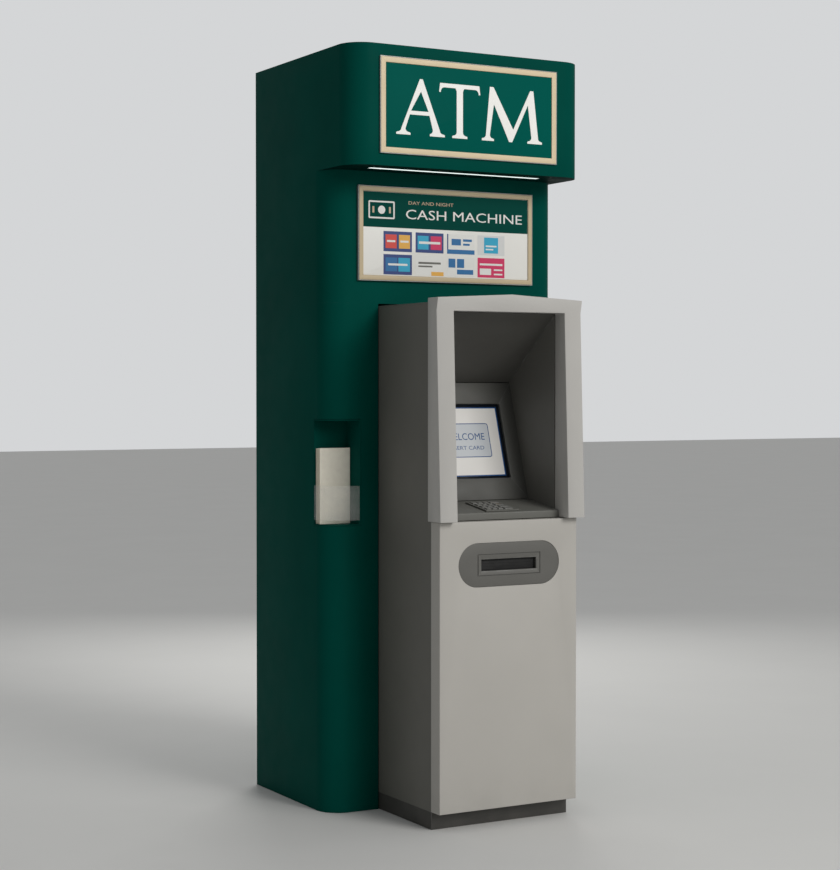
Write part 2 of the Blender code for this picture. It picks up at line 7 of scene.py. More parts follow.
import functools
import logging
import math
from dataclasses import dataclass, field, replace
from enum import Enum

import bmesh
import bpy
import numpy as np
from mathutils import Euler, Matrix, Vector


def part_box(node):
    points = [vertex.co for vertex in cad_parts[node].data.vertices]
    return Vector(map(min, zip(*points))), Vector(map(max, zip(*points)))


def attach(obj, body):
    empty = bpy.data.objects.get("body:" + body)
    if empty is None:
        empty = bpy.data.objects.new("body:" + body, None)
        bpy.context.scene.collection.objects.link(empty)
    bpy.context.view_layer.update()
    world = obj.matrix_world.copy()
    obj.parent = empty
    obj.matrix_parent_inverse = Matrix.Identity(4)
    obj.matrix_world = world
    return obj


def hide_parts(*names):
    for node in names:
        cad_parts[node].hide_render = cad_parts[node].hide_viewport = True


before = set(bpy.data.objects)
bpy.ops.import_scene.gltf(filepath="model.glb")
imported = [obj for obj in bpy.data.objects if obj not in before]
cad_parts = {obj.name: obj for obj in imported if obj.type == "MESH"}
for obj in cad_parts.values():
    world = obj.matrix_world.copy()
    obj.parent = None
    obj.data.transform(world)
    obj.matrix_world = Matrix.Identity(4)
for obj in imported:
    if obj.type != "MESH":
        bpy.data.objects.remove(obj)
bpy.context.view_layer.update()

LOG = logging.getLogger("cash_machine")
Array = np.ndarray
Pair = tuple[float, float]
Triple = tuple[float, float, float]
Socket = bpy.types.NodeSocket
ROOT = "surround_and_cabinet"
WELD = 1e-6
SHARP = math.radians(32.0)
PRINT = 0.00025  # thickness of a printed or laid-on film
WARM_WHITE = (1.0, 0.985, 0.96)
NARROW = 0.0026  # width under which a face counts as a turned edge
SLIM = 4.0  # how many times longer than wide a turned edge is
SQUARE = 0.999  # the normal's largest component from which a face lies square to an axis


# ---------------------------------------------------------------- surfaces

@dataclass
class Surface:
    """Points and the faces between them, each face a tuple of point numbers."""

    points: Array
    faces: list[tuple[int, ...]]

    def placed(self, plane: "Plane") -> "Surface":
        """The surface carried from (across, up, out) to a plane of the machine."""
        return Surface(plane.place(self.points), self.faces)

    def joined(self, other: "Surface") -> "Surface":
        """Both surfaces as one."""
        count = len(self.points)
        shifted = [tuple(i + count for i in face) for face in other.faces]
        return Surface(np.vstack([self.points, other.points]), self.faces + shifted)


@dataclass(frozen=True)
class Plane:
    """A plane given by an origin and three axes: across, up and out."""

    origin: Triple
    across: Triple
    up: Triple
    out: Triple

    def place(self, points: Array) -> Array:
        """Origin plus each coordinate times its axis."""
        axes = np.array([self.across, self.up, self.out])
        return np.asarray(self.origin) + points @ axes


def facing_front(y: float) -> Plane:
    """The upright plane at y that faces the customer: across is +X and out is -Y."""
    return Plane((0.0, y, 0.0), (1.0, 0.0, 0.0), (0.0, 0.0, 1.0), (0.0, -1.0, 0.0))


def facing_back(y: float) -> Plane:
    """The upright plane at y that faces the rear: across is -X and out is +Y."""
    return Plane((0.0, y, 0.0), (-1.0, 0.0, 0.0), (0.0, 0.0, 1.0), (0.0, 1.0, 0.0))


def facing_right(x: float) -> Plane:
    """The upright plane at x that faces right: across is +Y and out is +X."""
    return Plane((x, 0.0, 0.0), (0.0, 1.0, 0.0), (0.0, 0.0, 1.0), (1.0, 0.0, 0.0))


def facing_up(z: float) -> Plane:
    """The level plane at z: across is +X, up is +Y and out is +Z."""
    return Plane((0.0, 0.0, z), (1.0, 0.0, 0.0), (0.0, 1.0, 0.0), (0.0, 0.0, 1.0))


def arc(centre: Pair, radius: float, start: float, end: float, steps: int) -> Array:
    """Points of an arc: centre plus radius times (cos, sin) of even angles.

    Args:
        centre: middle of the circle.
        radius: its radius.
        start: first angle in degrees.
        end: last angle in degrees.
        steps: how many chords.

    Returns:
        An array of steps + 1 points.
    """
    angles = np.radians(np.linspace(start, end, steps + 1))
    return np.asarray(centre) + radius * np.stack([np.cos(angles), np.sin(angles)], axis=1)


def level(plan: Array, z: float) -> Array:
    """The (x, y) points of a plan at one height."""
    return np.column_stack([plan, np.full(len(plan), z)])


def headings(path: Array) -> Array:
    """Unit directions along a path of points."""
    along = np.gradient(path, axis=0)
    return along / np.linalg.norm(along, axis=1, keepdims=True)


def within(values: Array, limits: Pair) -> Array:
    """Which values lie between two limits."""
    return (values > limits[0]) & (values < limits[1])


def grid_faces(rows: int, columns: int, round_rows: bool = False, round_columns: bool = False,
               keep: Array | None = None) -> list[tuple[int, ...]]:
    """Quads of a grid numbered row by row.

    Args:
        rows: lines of points.
        columns: points in a line.
        round_rows: join the last line to the first.
        round_columns: join the last point of a line to its first.
        keep: which cells have a face; all of them when None.

    Returns:
        The faces, each four point numbers.
    """
    row = np.arange(rows if round_rows else rows - 1)[:, None]
    column = np.arange(columns if round_columns else columns - 1)[None, :]
    next_row, next_column = (row + 1) % rows, (column + 1) % columns
    quads = np.stack([
        row * columns + column, row * columns + next_column,
        next_row * columns + next_column, next_row * columns + column,
    ], axis=-1)
    if keep is not None:
        quads = quads[keep]
    return [tuple(quad) for quad in quads.reshape(-1, 4).tolist()]


def grid(points: Array, **options: bool) -> Surface:
    """A surface through a (rows, columns, 3) array of points."""
    rows, columns = points.shape[:2]
    return Surface(points.reshape(-1, 3), grid_faces(rows, columns, **options))


def barrel(rows: Array) -> Surface:
    """A surface through closed lines of points, with a face over the first and the last."""
    count, last = rows.shape[1], (rows.shape[0] - 1) * rows.shape[1]
    surface = grid(rows, round_columns=True)
    surface.faces += [tuple(range(count - 1, -1, -1)), tuple(range(last, last + count))]
    return surface


@dataclass(frozen=True)
class Loop:
    """A closed outline: a rectangle with quarter-circle corners, at its own depth."""

    half_u: float
    half_v: float
    radius: float = 0.001
    depth: float = 0.0
    u: float = 0.0
    v: float = 0.0

    def grown(self, by: float, deeper: float = 0.0) -> "Loop":
        """The outline offset outwards by a distance and moved along its depth."""
        return Loop(self.half_u + by, self.half_v + by, max(self.radius + by, 0.0002),
                    self.depth + deeper, self.u, self.v)

    def points(self, steps: int) -> Array:
        """Four quarter circles, joined by the straight sides between them."""
        reach_u, reach_v = self.half_u - self.radius, self.half_v - self.radius
        corners = ((1, -1, -90), (1, 1, 0), (-1, 1, 90), (-1, -1, 180))
        flat = np.vstack([
            arc((self.u + su * reach_u, self.v + sv * reach_v), self.radius, at, at + 90, steps)
            for su, sv, at in corners
        ])
        return level(flat, self.depth)


def loop_of(us: Pair, vs: Pair, radius: float = 0.001, depth: float = 0.0) -> Loop:
    """The outline between two pairs of limits."""
    return Loop((us[1] - us[0]) / 2, (vs[1] - vs[0]) / 2, radius, depth,
                (us[0] + us[1]) / 2, (vs[0] + vs[1]) / 2)


def front_of(low: Array, high: Array, radius: float, inset: float = 0.0) -> Loop:
    """The outline of a box seen from the front."""
    return loop_of((low[0] + inset, high[0] - inset), (low[2] + inset, high[2] - inset), radius)


def rounding(loop: Loop, edge: float, inward: bool, steps: int = 3) -> list[Loop]:
    """Loops that turn an edge over along a quarter circle.

    At angle a the outline has moved in by edge times (1 - cos a) and out by edge times sin a.

    Args:
        loop: the outline where the side ends, one edge radius below the face.
        edge: radius of the turned edge.
        inward: True where the face lies inside the outline.
        steps: chords of the quarter circle.

    Returns:
        steps + 1 loops, from the side to the face.
    """
    angles = np.linspace(0.0, math.pi / 2, steps + 1)
    sign = -1.0 if inward else 1.0
    return [loop.grown(sign * edge * (1 - math.cos(a)), edge * math.sin(a)) for a in angles]


def skin(loops: list[Loop], steps: int = 4, ring: bool = False) -> Surface:
    """A skin through a stack of loops with the same number of points.

    Args:
        loops: the outlines in order.
        steps: chords of each corner.
        ring: True joins the last loop to the first, else both ends are closed by a face.

    Returns:
        A closed surface.
    """
    rows = np.stack([loop.points(steps) for loop in loops])
    return grid(rows, round_rows=True, round_columns=True) if ring else barrel(rows)


def slab(loop: Loop, thickness: float, edge: float = 0.0008, steps: int = 4) -> Surface:
    """A plate with turned edges on both faces; loop is its back outline."""
    back = [row for row in rounding(loop.grown(0.0, edge), edge, True)]
    under = [Loop(r.half_u, r.half_v, r.radius, 2 * (loop.depth + edge) - r.depth, r.u, r.v)
             for r in reversed(back)]
    front = rounding(loop.grown(0.0, thickness - edge), edge, True)
    return skin(under + front, steps)


def block(low: Triple, high: Triple,
          edge: float = 0.001, corner: float = 0.002, steps: int = 3) -> Surface:
    """An upright block with rounded upright corners and turned top and bottom edges."""
    loop = loop_of((low[0], high[0]), (low[1], high[1]), corner, low[2])
    return slab(loop, high[2] - low[2], edge, steps)


def collar(outer: Loop, inner: Loop, thickness: float, edge: float, steps: int = 4) -> Surface:
    """A flat ring with turned front edges between an outer and an inner outline."""
    lift = thickness - edge
    loops = [outer, outer.grown(0.0, lift)] + rounding(outer.grown(0.0, lift), edge, True)[1:]
    loops += rounding(inner.grown(0.0, lift), edge, False)[::-1][:-1] + [inner.grown(0.0, lift), inner]
    return skin(loops, steps, ring=True)


def tube(path: Array, radius: float, sides: int = 10) -> Surface:
    """A circle carried along a path of points in space, with both ends closed.

    Each ring stands square to the path: the path's direction crossed with a fixed helper gives
    the ring's two axes, and a point is path + radius (cos a, sin a) on them.
    """
    along = headings(path)
    helper = np.array([0.31, 0.17, 0.93])
    first = np.cross(along, helper)
    first /= np.linalg.norm(first, axis=1, keepdims=True)
    second = np.cross(along, first)
    angles = np.linspace(0, 2 * math.pi, sides, endpoint=False)
    rings = (path[:, None] + radius * (np.cos(angles)[None, :, None] * first[:, None]
                                      + np.sin(angles)[None, :, None] * second[:, None]))
    return barrel(rings)


def turned(profile: Array, plane: Plane, u: float, v: float, sides: int = 32) -> Surface:
    """A profile of (radius, out) pairs turned about the plane's outward axis through (u, v)."""
    angles = np.linspace(0, 2 * math.pi, sides, endpoint=False)
    radius, out = profile[:, 0][:, None], profile[:, 1][:, None]
    rows = np.stack([u + radius * np.cos(angles), v + radius * np.sin(angles),
                     out + 0 * angles], axis=-1)
    return barrel(rows).placed(plane)


def swept(profile: Array, xs: Pair) -> Surface:
    """A closed (y, z) profile carried straight along X, with both ends closed."""
    return barrel(np.stack([np.column_stack([np.full(len(profile), x), profile]) for x in xs]))


def mesh_surface(obj: bpy.types.Object) -> Surface:
    """The evaluated mesh of a text or curve object as a surface; the object is removed."""
    bpy.context.scene.collection.objects.link(obj)
    graph = bpy.context.evaluated_depsgraph_get()
    mesh = bpy.data.meshes.new_from_object(obj.evaluated_get(graph))
    points = np.zeros(len(mesh.vertices) * 3)
    mesh.vertices.foreach_get("co", points)
    faces = [tuple(face.vertices) for face in mesh.polygons]
    bpy.data.objects.remove(obj)
    return Surface(points.reshape(-1, 3), faces)


def lettering(words: str, height: float, centre: Pair, depth: float, width: float | None = None,
              thickness: float = PRINT) -> Surface:
    """Plain capitals or digits as a thin film.

    Args:
        words: what it says.
        height: height of a capital.
        centre: middle of the words on their plane.
        depth: how far out the film starts.
        width: width the words are fitted to, or None for the natural width.
        thickness: thickness of the film.

    Returns:
        The film, in (across, up, out).
    """
    curve = bpy.data.curves.new("words", "FONT")
    curve.body = words
    curve.resolution_u = 3
    curve.extrude = thickness / 2
    surface = mesh_surface(bpy.data.objects.new("words", curve))
    low, high = surface.points.min(axis=0), surface.points.max(axis=0)
    scale = height / (high[1] - low[1])
    stretch = width / (high[0] - low[0]) if width else scale
    size = np.array([stretch, scale, 1.0])
    surface.points = (surface.points - (low + high) / 2) * size
    surface.points += np.array([*centre, depth + thickness / 2])
    return surface


def outlined(loops: list[Array], depth: float, thickness: float = PRINT) -> Surface:
    """Flat shapes bounded by closed outlines, given a thickness; an outline inside another is a hole."""
    curve = bpy.data.curves.new("outline", "CURVE")
    curve.dimensions = "2D"
    curve.fill_mode = "BOTH"
    curve.extrude = thickness / 2
    for loop in loops:
        spline = curve.splines.new("POLY")
        spline.points.add(len(loop) - 1)
        flat = np.column_stack([loop, np.zeros(len(loop)), np.ones(len(loop))])
        spline.points.foreach_set("co", flat.ravel())
        spline.use_cyclic_u = True
    surface = mesh_surface(bpy.data.objects.new("outline", curve))
    surface.points[:, 2] += depth + thickness / 2
    return surface


def laid(loop: Loop, thickness: float, steps: int = 2) -> Surface:
    """A thin sheet with square sides, laid with its back on the loop."""
    return skin([loop, loop.grown(0.0, thickness)], steps)


def film(us: Pair, vs: Pair, depth: float, radius: float = 0.0006) -> Surface:
    """A printed rectangle as a thin film."""
    return laid(loop_of(us, vs, radius, depth), PRINT)


# ---------------------------------------------------------------- finishes

def linear(red: int, green: int, blue: int) -> Triple:
    """A display colour of 0 to 255 as linear light."""
    share = np.array([red, green, blue]) / 255.0
    light = np.where(share <= 0.04045, share / 12.92, ((share + 0.055) / 1.055) ** 2.4)
    return tuple(float(value) for value in light)


class Graph:
    """The node tree of one material while it is put together."""

    def __init__(self, name: str) -> None:
        """Start a material with its Principled shader."""
        self.material = bpy.data.materials.new(name)
        self.material.use_nodes = True
        self.tree = self.material.node_tree
        self.shader = self.tree.nodes["Principled BSDF"]

    def node(self, kind: str, inputs: dict[str | int, object] | None = None,
             **options: object) -> bpy.types.Node:
        """Add a node.

        Args:
            kind: the node's type without its ShaderNode prefix.
            inputs: values or output sockets for its inputs, by name or number.
            options: properties of the node itself.

        Returns:
            The new node.
        """
        made = self.tree.nodes.new("ShaderNode" + kind)
        for key, value in options.items():
            setattr(made, key, value)
        for key, value in (inputs or {}).items():
            if isinstance(value, Socket):
                self.tree.links.new(value, made.inputs[key])
            else:
                made.inputs[key].default_value = value
        return made

    def place(self, stretch: Triple = (1.0, 1.0, 1.0)) -> Socket:
        """Object coordinates, stretched for streaks."""
        where = self.node("TexCoord").outputs["Object"]
        return self.node("Mapping", {"Vector": where, "Scale": stretch}).outputs["Vector"]

    def noise(self, where: Socket, scale: float, detail: float = 3.0) -> Socket:
        """Fractal noise at a scale per metre."""
        made = self.node("TexNoise", {"Vector": where, "Scale": scale, "Detail": detail})
        return made.outputs["Fac"]

    def ramp(self, value: Socket, low: float, high: float, to_low: float = 0.0,
             to_high: float = 1.0) -> Socket:
        """A value from low..high spread to to_low..to_high, clamped."""
        spread = {"Value": value, "From Min": low, "From Max": high, "To Min": to_low,
                  "To Max": to_high}
        return self.node("MapRange", spread).outputs["Result"]

    def times(self, first: Socket, second: Socket | float) -> Socket:
        """Two values multiplied."""
        return self.node("Math", {0: first, 1: second}, operation="MULTIPLY").outputs[0]

    def blend(self, share: Socket, first: object, second: object) -> Socket:
        """The first colour turned into the second by a share."""
        colours = {0: share, 6: first, 7: second}
        return self.node("Mix", colours, data_type="RGBA").outputs[2]

    def set(self, **values: object) -> None:
        """Set or link the shader's sockets; an underscore in a name stands for a space."""
        for key, value in values.items():
            socket = self.shader.inputs[key.replace("_", " ")]
            if isinstance(value, Socket):
                self.tree.links.new(value, socket)
            else:
                socket.default_value = value


def shade(colour: Triple, factor: float) -> tuple[float, float, float, float]:
    """A colour made lighter or darker."""
    return (*(min(channel * factor, 1.0) for channel in colour), 1.0)


@dataclass(frozen=True)
class Finish:
    """A coloured surface with mottling, fine grain, uneven gloss, edges made lighter by wear and by painted
    highlight, and dust.
    """

    name: str
    colour: Triple
    roughness: Pair = (0.40, 0.50)
    mottle: float = 0.05  # share the colour varies by
    mottle_scale: float = 7.0
    grain: float = 0.12  # strength of the bump
    grain_scale: float = 900.0
    grain_depth: float = 0.0002
    rub_and_highlight: float = 0.25  # how much turned edges are made lighter: partly wear, partly painted highlight
    dust: float = 0.0  # dust gathered near the floor
    metallic: float = 0.0
    coat: float = 0.0
    specular: float = 0.5
    bending: float = 1.45  # index of refraction; near 1 the surface hardly mirrors at a glance
    stretch: Triple = (1.0, 1.0, 1.0)

    @functools.cache
    def material(self) -> bpy.types.Material:
        """The finish as a node material.

        Returns:
            The material, made once.
        """
        graph = Graph(self.name)
        where = graph.place(self.stretch)
        cloud = graph.noise(where, self.mottle_scale, 4.0)
        tones = [shade(self.colour, 1 - self.mottle), shade(self.colour, 1 + self.mottle)]
        colour = graph.blend(graph.ramp(cloud, 0.3, 0.7), *tones)
        colour = self.rubbed_and_highlit(graph, where, colour)
        colour = self.dusted(graph, where, colour)
        fine = graph.noise(where, self.grain_scale, 2.0)
        bump = graph.node("Bump", {"Strength": self.grain, "Distance": self.grain_depth, "Height": fine})
        gloss = graph.ramp(graph.noise(where, self.mottle_scale * 3.1), 0.25, 0.75, *self.roughness)
        graph.set(Base_Color=colour, Roughness=gloss, Normal=bump.outputs[0],
                  Metallic=self.metallic, Coat_Weight=self.coat, Specular_IOR_Level=self.specular,
                  IOR=self.bending)
        self.extra(graph)
        return graph.material

    def rubbed_and_highlit(self, graph: Graph, where: Socket, colour: Socket) -> Socket:
        """Narrow turned edges, marked on the mesh, made lighter in patches: partly rubbed wear, partly a
        painted highlight where light catches an edge.
        """
        if not self.rub_and_highlight:
            return colour
        marked = graph.node("Attribute", attribute_name="edge").outputs["Fac"]
        patches = graph.ramp(graph.noise(where, 38.0, 5.0), 0.42, 0.66, 0.15, 1.0)
        share = graph.times(graph.times(marked, patches), self.rub_and_highlight)
        # the lighter edge colour is partly wear, partly painted highlight
        lighter = [channel * 0.55 + 0.25 for channel in self.colour]
        return graph.blend(share, colour, (*lighter, 1.0))

    def dusted(self, graph: Graph, where: Socket, colour: Socket) -> Socket:
        """Dust and scuffs that thin out with height above the floor."""
        if not self.dust:
            return colour
        height = graph.node("SeparateXYZ", {0: graph.node("TexCoord").outputs["Object"]}).outputs[2]
        low = graph.ramp(height, 0.0, 0.16, 1.0, 0.0)
        patches = graph.ramp(graph.noise(where, 21.0, 6.0), 0.35, 0.75)
        share = graph.times(graph.times(low, patches), self.dust)
        return graph.blend(share, colour, (0.19, 0.18, 0.16, 1.0))

    def extra(self, graph: Graph) -> None:
        """What a particular kind of finish adds."""


@dataclass(frozen=True)
class Clear(Finish):
    """Clear acrylic that shows as a thin grey veil with a gloss; the veil is a whitish film, a painted
    reflection.
    """

    # how opaque the whitish film is that stands in for the sheet's reflection: painted reflection
    veil: float = 0.10

    def extra(self, graph: Graph) -> None:
        """Thin out the sheet to a whitish veil, a painted reflection, a little less where it is smeared."""
        graph.set(Alpha=graph.ramp(graph.noise(graph.place(), 30.0), 0.3, 0.7, self.veil, self.veil + 0.05))


@dataclass(frozen=True)
class Glow(Finish):
    """A surface that gives its own light."""

    light: Triple = (1.0, 1.0, 1.0)
    strength: float = 1.0

    def extra(self, graph: Graph) -> None:
        """Even light from the whole surface."""
        graph.set(Emission_Color=(*self.light, 1.0), Emission_Strength=self.strength)


@dataclass(frozen=True)
class Screen(Finish):
    """A lit screen: its print glows weakly in its own colour."""

    glow: float = 0.35

    def extra(self, graph: Graph) -> None:
        """Glow in the print's colour, broken by faint rows of dots."""
        rows = graph.noise(graph.place((1.0, 0.02, 1.0)), 900.0)
        tones = [shade(self.colour, 0.94), shade(self.colour, 1.06)]
        graph.set(Emission_Color=graph.blend(rows, *tones), Emission_Strength=self.glow)


FLAT = 1.06  # index of refraction of the flat greens, which mirror almost nothing

LAMINATE = Finish("green_laminate", linear(2, 72, 63), (0.40, 0.50), 0.06, 5.0, 0.10, 620.0,
                  rub_and_highlight=0.06, bending=FLAT)
# The soffit's board and the downlight's rim take a darker copy of the laminate: painted shade under the
# canopy.
SOFFIT_GREEN = replace(LAMINATE, name="green_laminate_painted_shade", colour=linear(1, 38, 34),
                       roughness=(0.44, 0.52), mottle=0.04, grain=0.06, rub_and_highlight=0.0)
SIGN_GREEN = Finish("green_sign_face", linear(3, 88, 79), (0.44, 0.50), 0.03, 4.0, 0.04, 500.0,
                    rub_and_highlight=0.1, bending=FLAT)
HEADER_GREEN = Finish("green_print", linear(12, 70, 62), (0.42, 0.48), 0.03, 6.0, 0.04, 800.0,
                      rub_and_highlight=0.0, bending=FLAT)
TAN = Finish("tan_frame", linear(220, 201, 166), (0.40, 0.50), 0.03, 9.0, 0.10, 1100.0, rub_and_highlight=0.15)
TAN_SHADE = replace(TAN, name="tan_frame_in_shade", colour=linear(196, 178, 145))
TRIM = Finish("grey_trim", linear(150, 152, 150), (0.30, 0.42), 0.04, 12.0, 0.06, rub_and_highlight=0.2,
              metallic=0.4)
LETTER_WHITE = Finish("white_lettering", linear(246, 245, 241), (0.35, 0.42), 0.015, 9.0, 0.03,
                      rub_and_highlight=0.1)
PANEL_WHITE = Finish("white_panel", linear(232, 231, 226), (0.36, 0.42), 0.015, 6.0, 0.03, rub_and_highlight=0.0)
BODY_GREY = Finish("dark_grey_paint", linear(104, 103, 97), (0.42, 0.52), 0.04, 6.0, 0.22, 1300.0,
                   dust=0.3)
LIGHT_GREY = Finish("light_grey_paint", linear(181, 178, 172), (0.40, 0.50), 0.02, 6.0, 0.20, 1300.0,
                    rub_and_highlight=0.30, dust=0.15)
MOULDED_GREY = Finish("light_grey_moulding", linear(187, 185, 181), (0.42, 0.50), 0.02, 7.0, 0.26,
                      1700.0)
RECESS_GREY = Finish("recess_grey", linear(86, 85, 81), (0.46, 0.56), 0.03, 8.0, 0.26, 1700.0, rub_and_highlight=0.2)
# The panel, the shelf and the recess walls take copies of the recess grey, made lighter or darker for the
# light on each surface: painted light and shade.
PANEL_GREY = replace(RECESS_GREY, name="recess_panel_grey", colour=linear(76, 76, 72))
SHELF_GREY = replace(RECESS_GREY, name="shelf_grey", colour=linear(103, 103, 98))
WALL_GREY = replace(RECESS_GREY, name="recess_wall_grey", colour=linear(108, 107, 102))
BEZEL_GREY = replace(RECESS_GREY, name="bezel_grey", colour=linear(98, 97, 93),
                     roughness=(0.42, 0.52), rub_and_highlight=0.3)
KEY_GREY = Finish("key_grey", linear(112, 112, 108), (0.36, 0.46), 0.03, 40.0, 0.20, 2500.0, rub_and_highlight=0.35)
PLINTH_GREY = Finish("plinth_paint", linear(66, 65, 62), (0.48, 0.60), 0.05, 6.0, 0.20, 1100.0,
                     dust=0.15)
# Black: the shutter's own colour, and painted shade where keyways, vent slots and the card slot are drawn as
# black films in place of holes.
BLACK = Finish("black_and_painted_hole_shade", linear(16, 16, 16), (0.55, 0.70), 0.05, 20.0, 0.1, rub_and_highlight=0.0)
STEEL = Finish("plain_steel", linear(188, 188, 186), (0.24, 0.36), 0.04, 14.0, 0.10, 260.0, rub_and_highlight=0.1,
               metallic=1.0, stretch=(1.0, 1.0, 14.0))
SAFE_PAINT = Finish("safe_paint", linear(96, 104, 112), (0.45, 0.58), 0.06, 9.0, 0.35, 700.0, rub_and_highlight=0.3)
MODULE_GREY = Finish("module_grey", linear(122, 126, 128), (0.40, 0.52), 0.04, 11.0, 0.2, 1200.0)
PAPER = Finish("envelope_paper", linear(252, 246, 230), (0.72, 0.84), 0.035, 60.0, 0.35, 1500.0,
               0.00015, rub_and_highlight=0.3, specular=0.25)
# A darker copy of the paper for every other envelope: painted shade.
PAPER_SHADE = replace(PAPER, name="envelope_paper_painted_shade", colour=linear(238, 230, 210),
                      roughness=(0.74, 0.86), mottle=0.05, grain=0.3, rub_and_highlight=0.0)
ACRYLIC = Clear("clear_acrylic", linear(250, 250, 246), (0.10, 0.16), 0.01, 9.0, 0.0, 400.0, rub_and_highlight=0.2,
                coat=0.1)
OPAL = Glow("opal_lens", linear(236, 242, 240), (0.30, 0.36), 0.01, 8.0, 0.05, rub_and_highlight=0.0,
            light=linear(238, 250, 247))
GLASS = Finish("display_glass", linear(18, 24, 34), (0.10, 0.16), 0.05, 8.0, 0.02, 300.0, rub_and_highlight=0.1,
               coat=0.4)
INK_NAVY = Finish("ink_navy", linear(34, 60, 122), (0.38, 0.44), 0.02, 30.0, 0.02, rub_and_highlight=0.0)
INK_BLUE = replace(INK_NAVY, name="ink_blue", colour=linear(22, 104, 160))
INK_SKY = replace(INK_NAVY, name="ink_sky", colour=linear(32, 162, 198))
INK_RED = replace(INK_NAVY, name="ink_red", colour=linear(212, 66, 56))
INK_CRIMSON = replace(INK_NAVY, name="ink_crimson", colour=linear(206, 36, 92))
INK_AMBER = replace(INK_NAVY, name="ink_amber", colour=linear(226, 170, 72))
INK_GREY = replace(INK_NAVY, name="ink_grey", colour=linear(212, 213, 212))
INK_TAN = replace(INK_NAVY, name="ink_tan", colour=linear(190, 168, 140), roughness=(0.40, 0.46))
INK_WHITE = replace(INK_TAN, name="ink_white", colour=linear(226, 226, 222), mottle=0.01)
SCREEN_WHITE = Screen("screen_white", linear(200, 198, 194), (0.18, 0.24), 0.01, 9.0, 0.0, rub_and_highlight=0.0,
                      glow=0.25)
SCREEN_GREY = replace(SCREEN_WHITE, name="screen_grey", colour=linear(172, 176, 180))
SCREEN_NAVY = replace(SCREEN_WHITE, name="screen_navy", colour=linear(22, 66, 116), mottle=0.02,
                      glow=0.20)
FLOOR = Finish("pale_floor", linear(218, 218, 216), (0.62, 0.74), 0.01, 2.0, 0.05, 300.0, rub_and_highlight=0.0,
               specular=0.2)


# ---------------------------------------------------------------- pieces

@dataclass
class Piece:
    """A piece in the making: its surfaces, their finishes and the body it rides on."""

    name: str
    slot: str
    finishes: tuple[Finish, ...]
    body: str = ROOT
    replaces: tuple[str, ...] = ()
    wall: float = 0.0  # thickness given to a sheet, inwards when positive
    soften: float = 0.0  # width of the bevel on its sharp edges
    soften_angle: float = 40.0
    clamp: bool = False  # whether the bevel shrinks to fit the tightest place
    facing: Triple | None = None  # which way a flat sheet faces
    surfaces: list[tuple[Surface, int]] = field(default_factory=list)

    def add(self, surface: Surface, finish: int = 0, plane: Plane | None = None) -> "Piece":
        """Add a surface, laid on a plane if one is given."""
        self.surfaces.append((surface.placed(plane) if plane else surface, finish))
        return self

    def build(self) -> bpy.types.Object:
        """Make the mesh, dress it, and fix it to its body.

        Returns:
            The finished object.
        """
        mesh = self.joined_mesh()
        obj = bpy.data.objects.new(self.name, mesh)
        bpy.context.scene.collection.objects.link(obj)
        for finish in self.finishes:
            mesh.materials.append(finish.material())
        self.thicken(obj)
        mark_edges(obj.data)
        obj.data.shade_smooth()
        obj.data.set_sharp_from_angle(angle=SHARP)
        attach(obj, self.body)
        if self.replaces:
            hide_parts(*self.replaces)
        LOG.info("%s: %d faces on %s", self.name, len(obj.data.polygons), self.body)
        return obj

    def joined_mesh(self) -> bpy.types.Mesh:
        """All surfaces as one mesh, welded and turned to face outwards."""
        whole, numbers = None, []
        for surface, finish in self.surfaces:
            whole = surface if whole is None else whole.joined(surface)
            numbers += [finish] * len(surface.faces)
        mesh = bpy.data.meshes.new(self.name)
        mesh.from_pydata(whole.points, [], whole.faces)
        mesh.polygons.foreach_set("material_index", numbers)
        work = bmesh.new()
        work.from_mesh(mesh)
        bmesh.ops.remove_doubles(work, verts=work.verts, dist=WELD)
        bmesh.ops.dissolve_degenerate(work, edges=work.edges, dist=WELD)
        bmesh.ops.recalc_face_normals(work, faces=work.faces)
        if self.facing and sum(face.normal.dot(self.facing) for face in work.faces) < 0:
            bmesh.ops.reverse_faces(work, faces=work.faces)
        work.to_mesh(mesh)
        work.free()
        return mesh

    def thicken(self, obj: bpy.types.Object) -> None:
        """Give a sheet its wall and bevel its sharp edges, and keep the result."""
        if self.wall:
            solidify = obj.modifiers.new("wall", "SOLIDIFY")
            solidify.thickness = abs(self.wall)
            solidify.offset = -math.copysign(1.0, self.wall)
            solidify.use_even_offset = True
            solidify.use_quality_normals = True
        if self.soften:
            bevel = obj.modifiers.new("soften", "BEVEL")
            bevel.width = self.soften
            bevel.segments = 2
            bevel.limit_method = "ANGLE"
            bevel.angle_limit = math.radians(self.soften_angle)
            bevel.use_clamp_overlap = self.clamp
        if obj.modifiers:
            graph = bpy.context.evaluated_depsgraph_get()
            made = bpy.data.meshes.new_from_object(obj.evaluated_get(graph))
            obj.modifiers.clear()
            obj.data = made


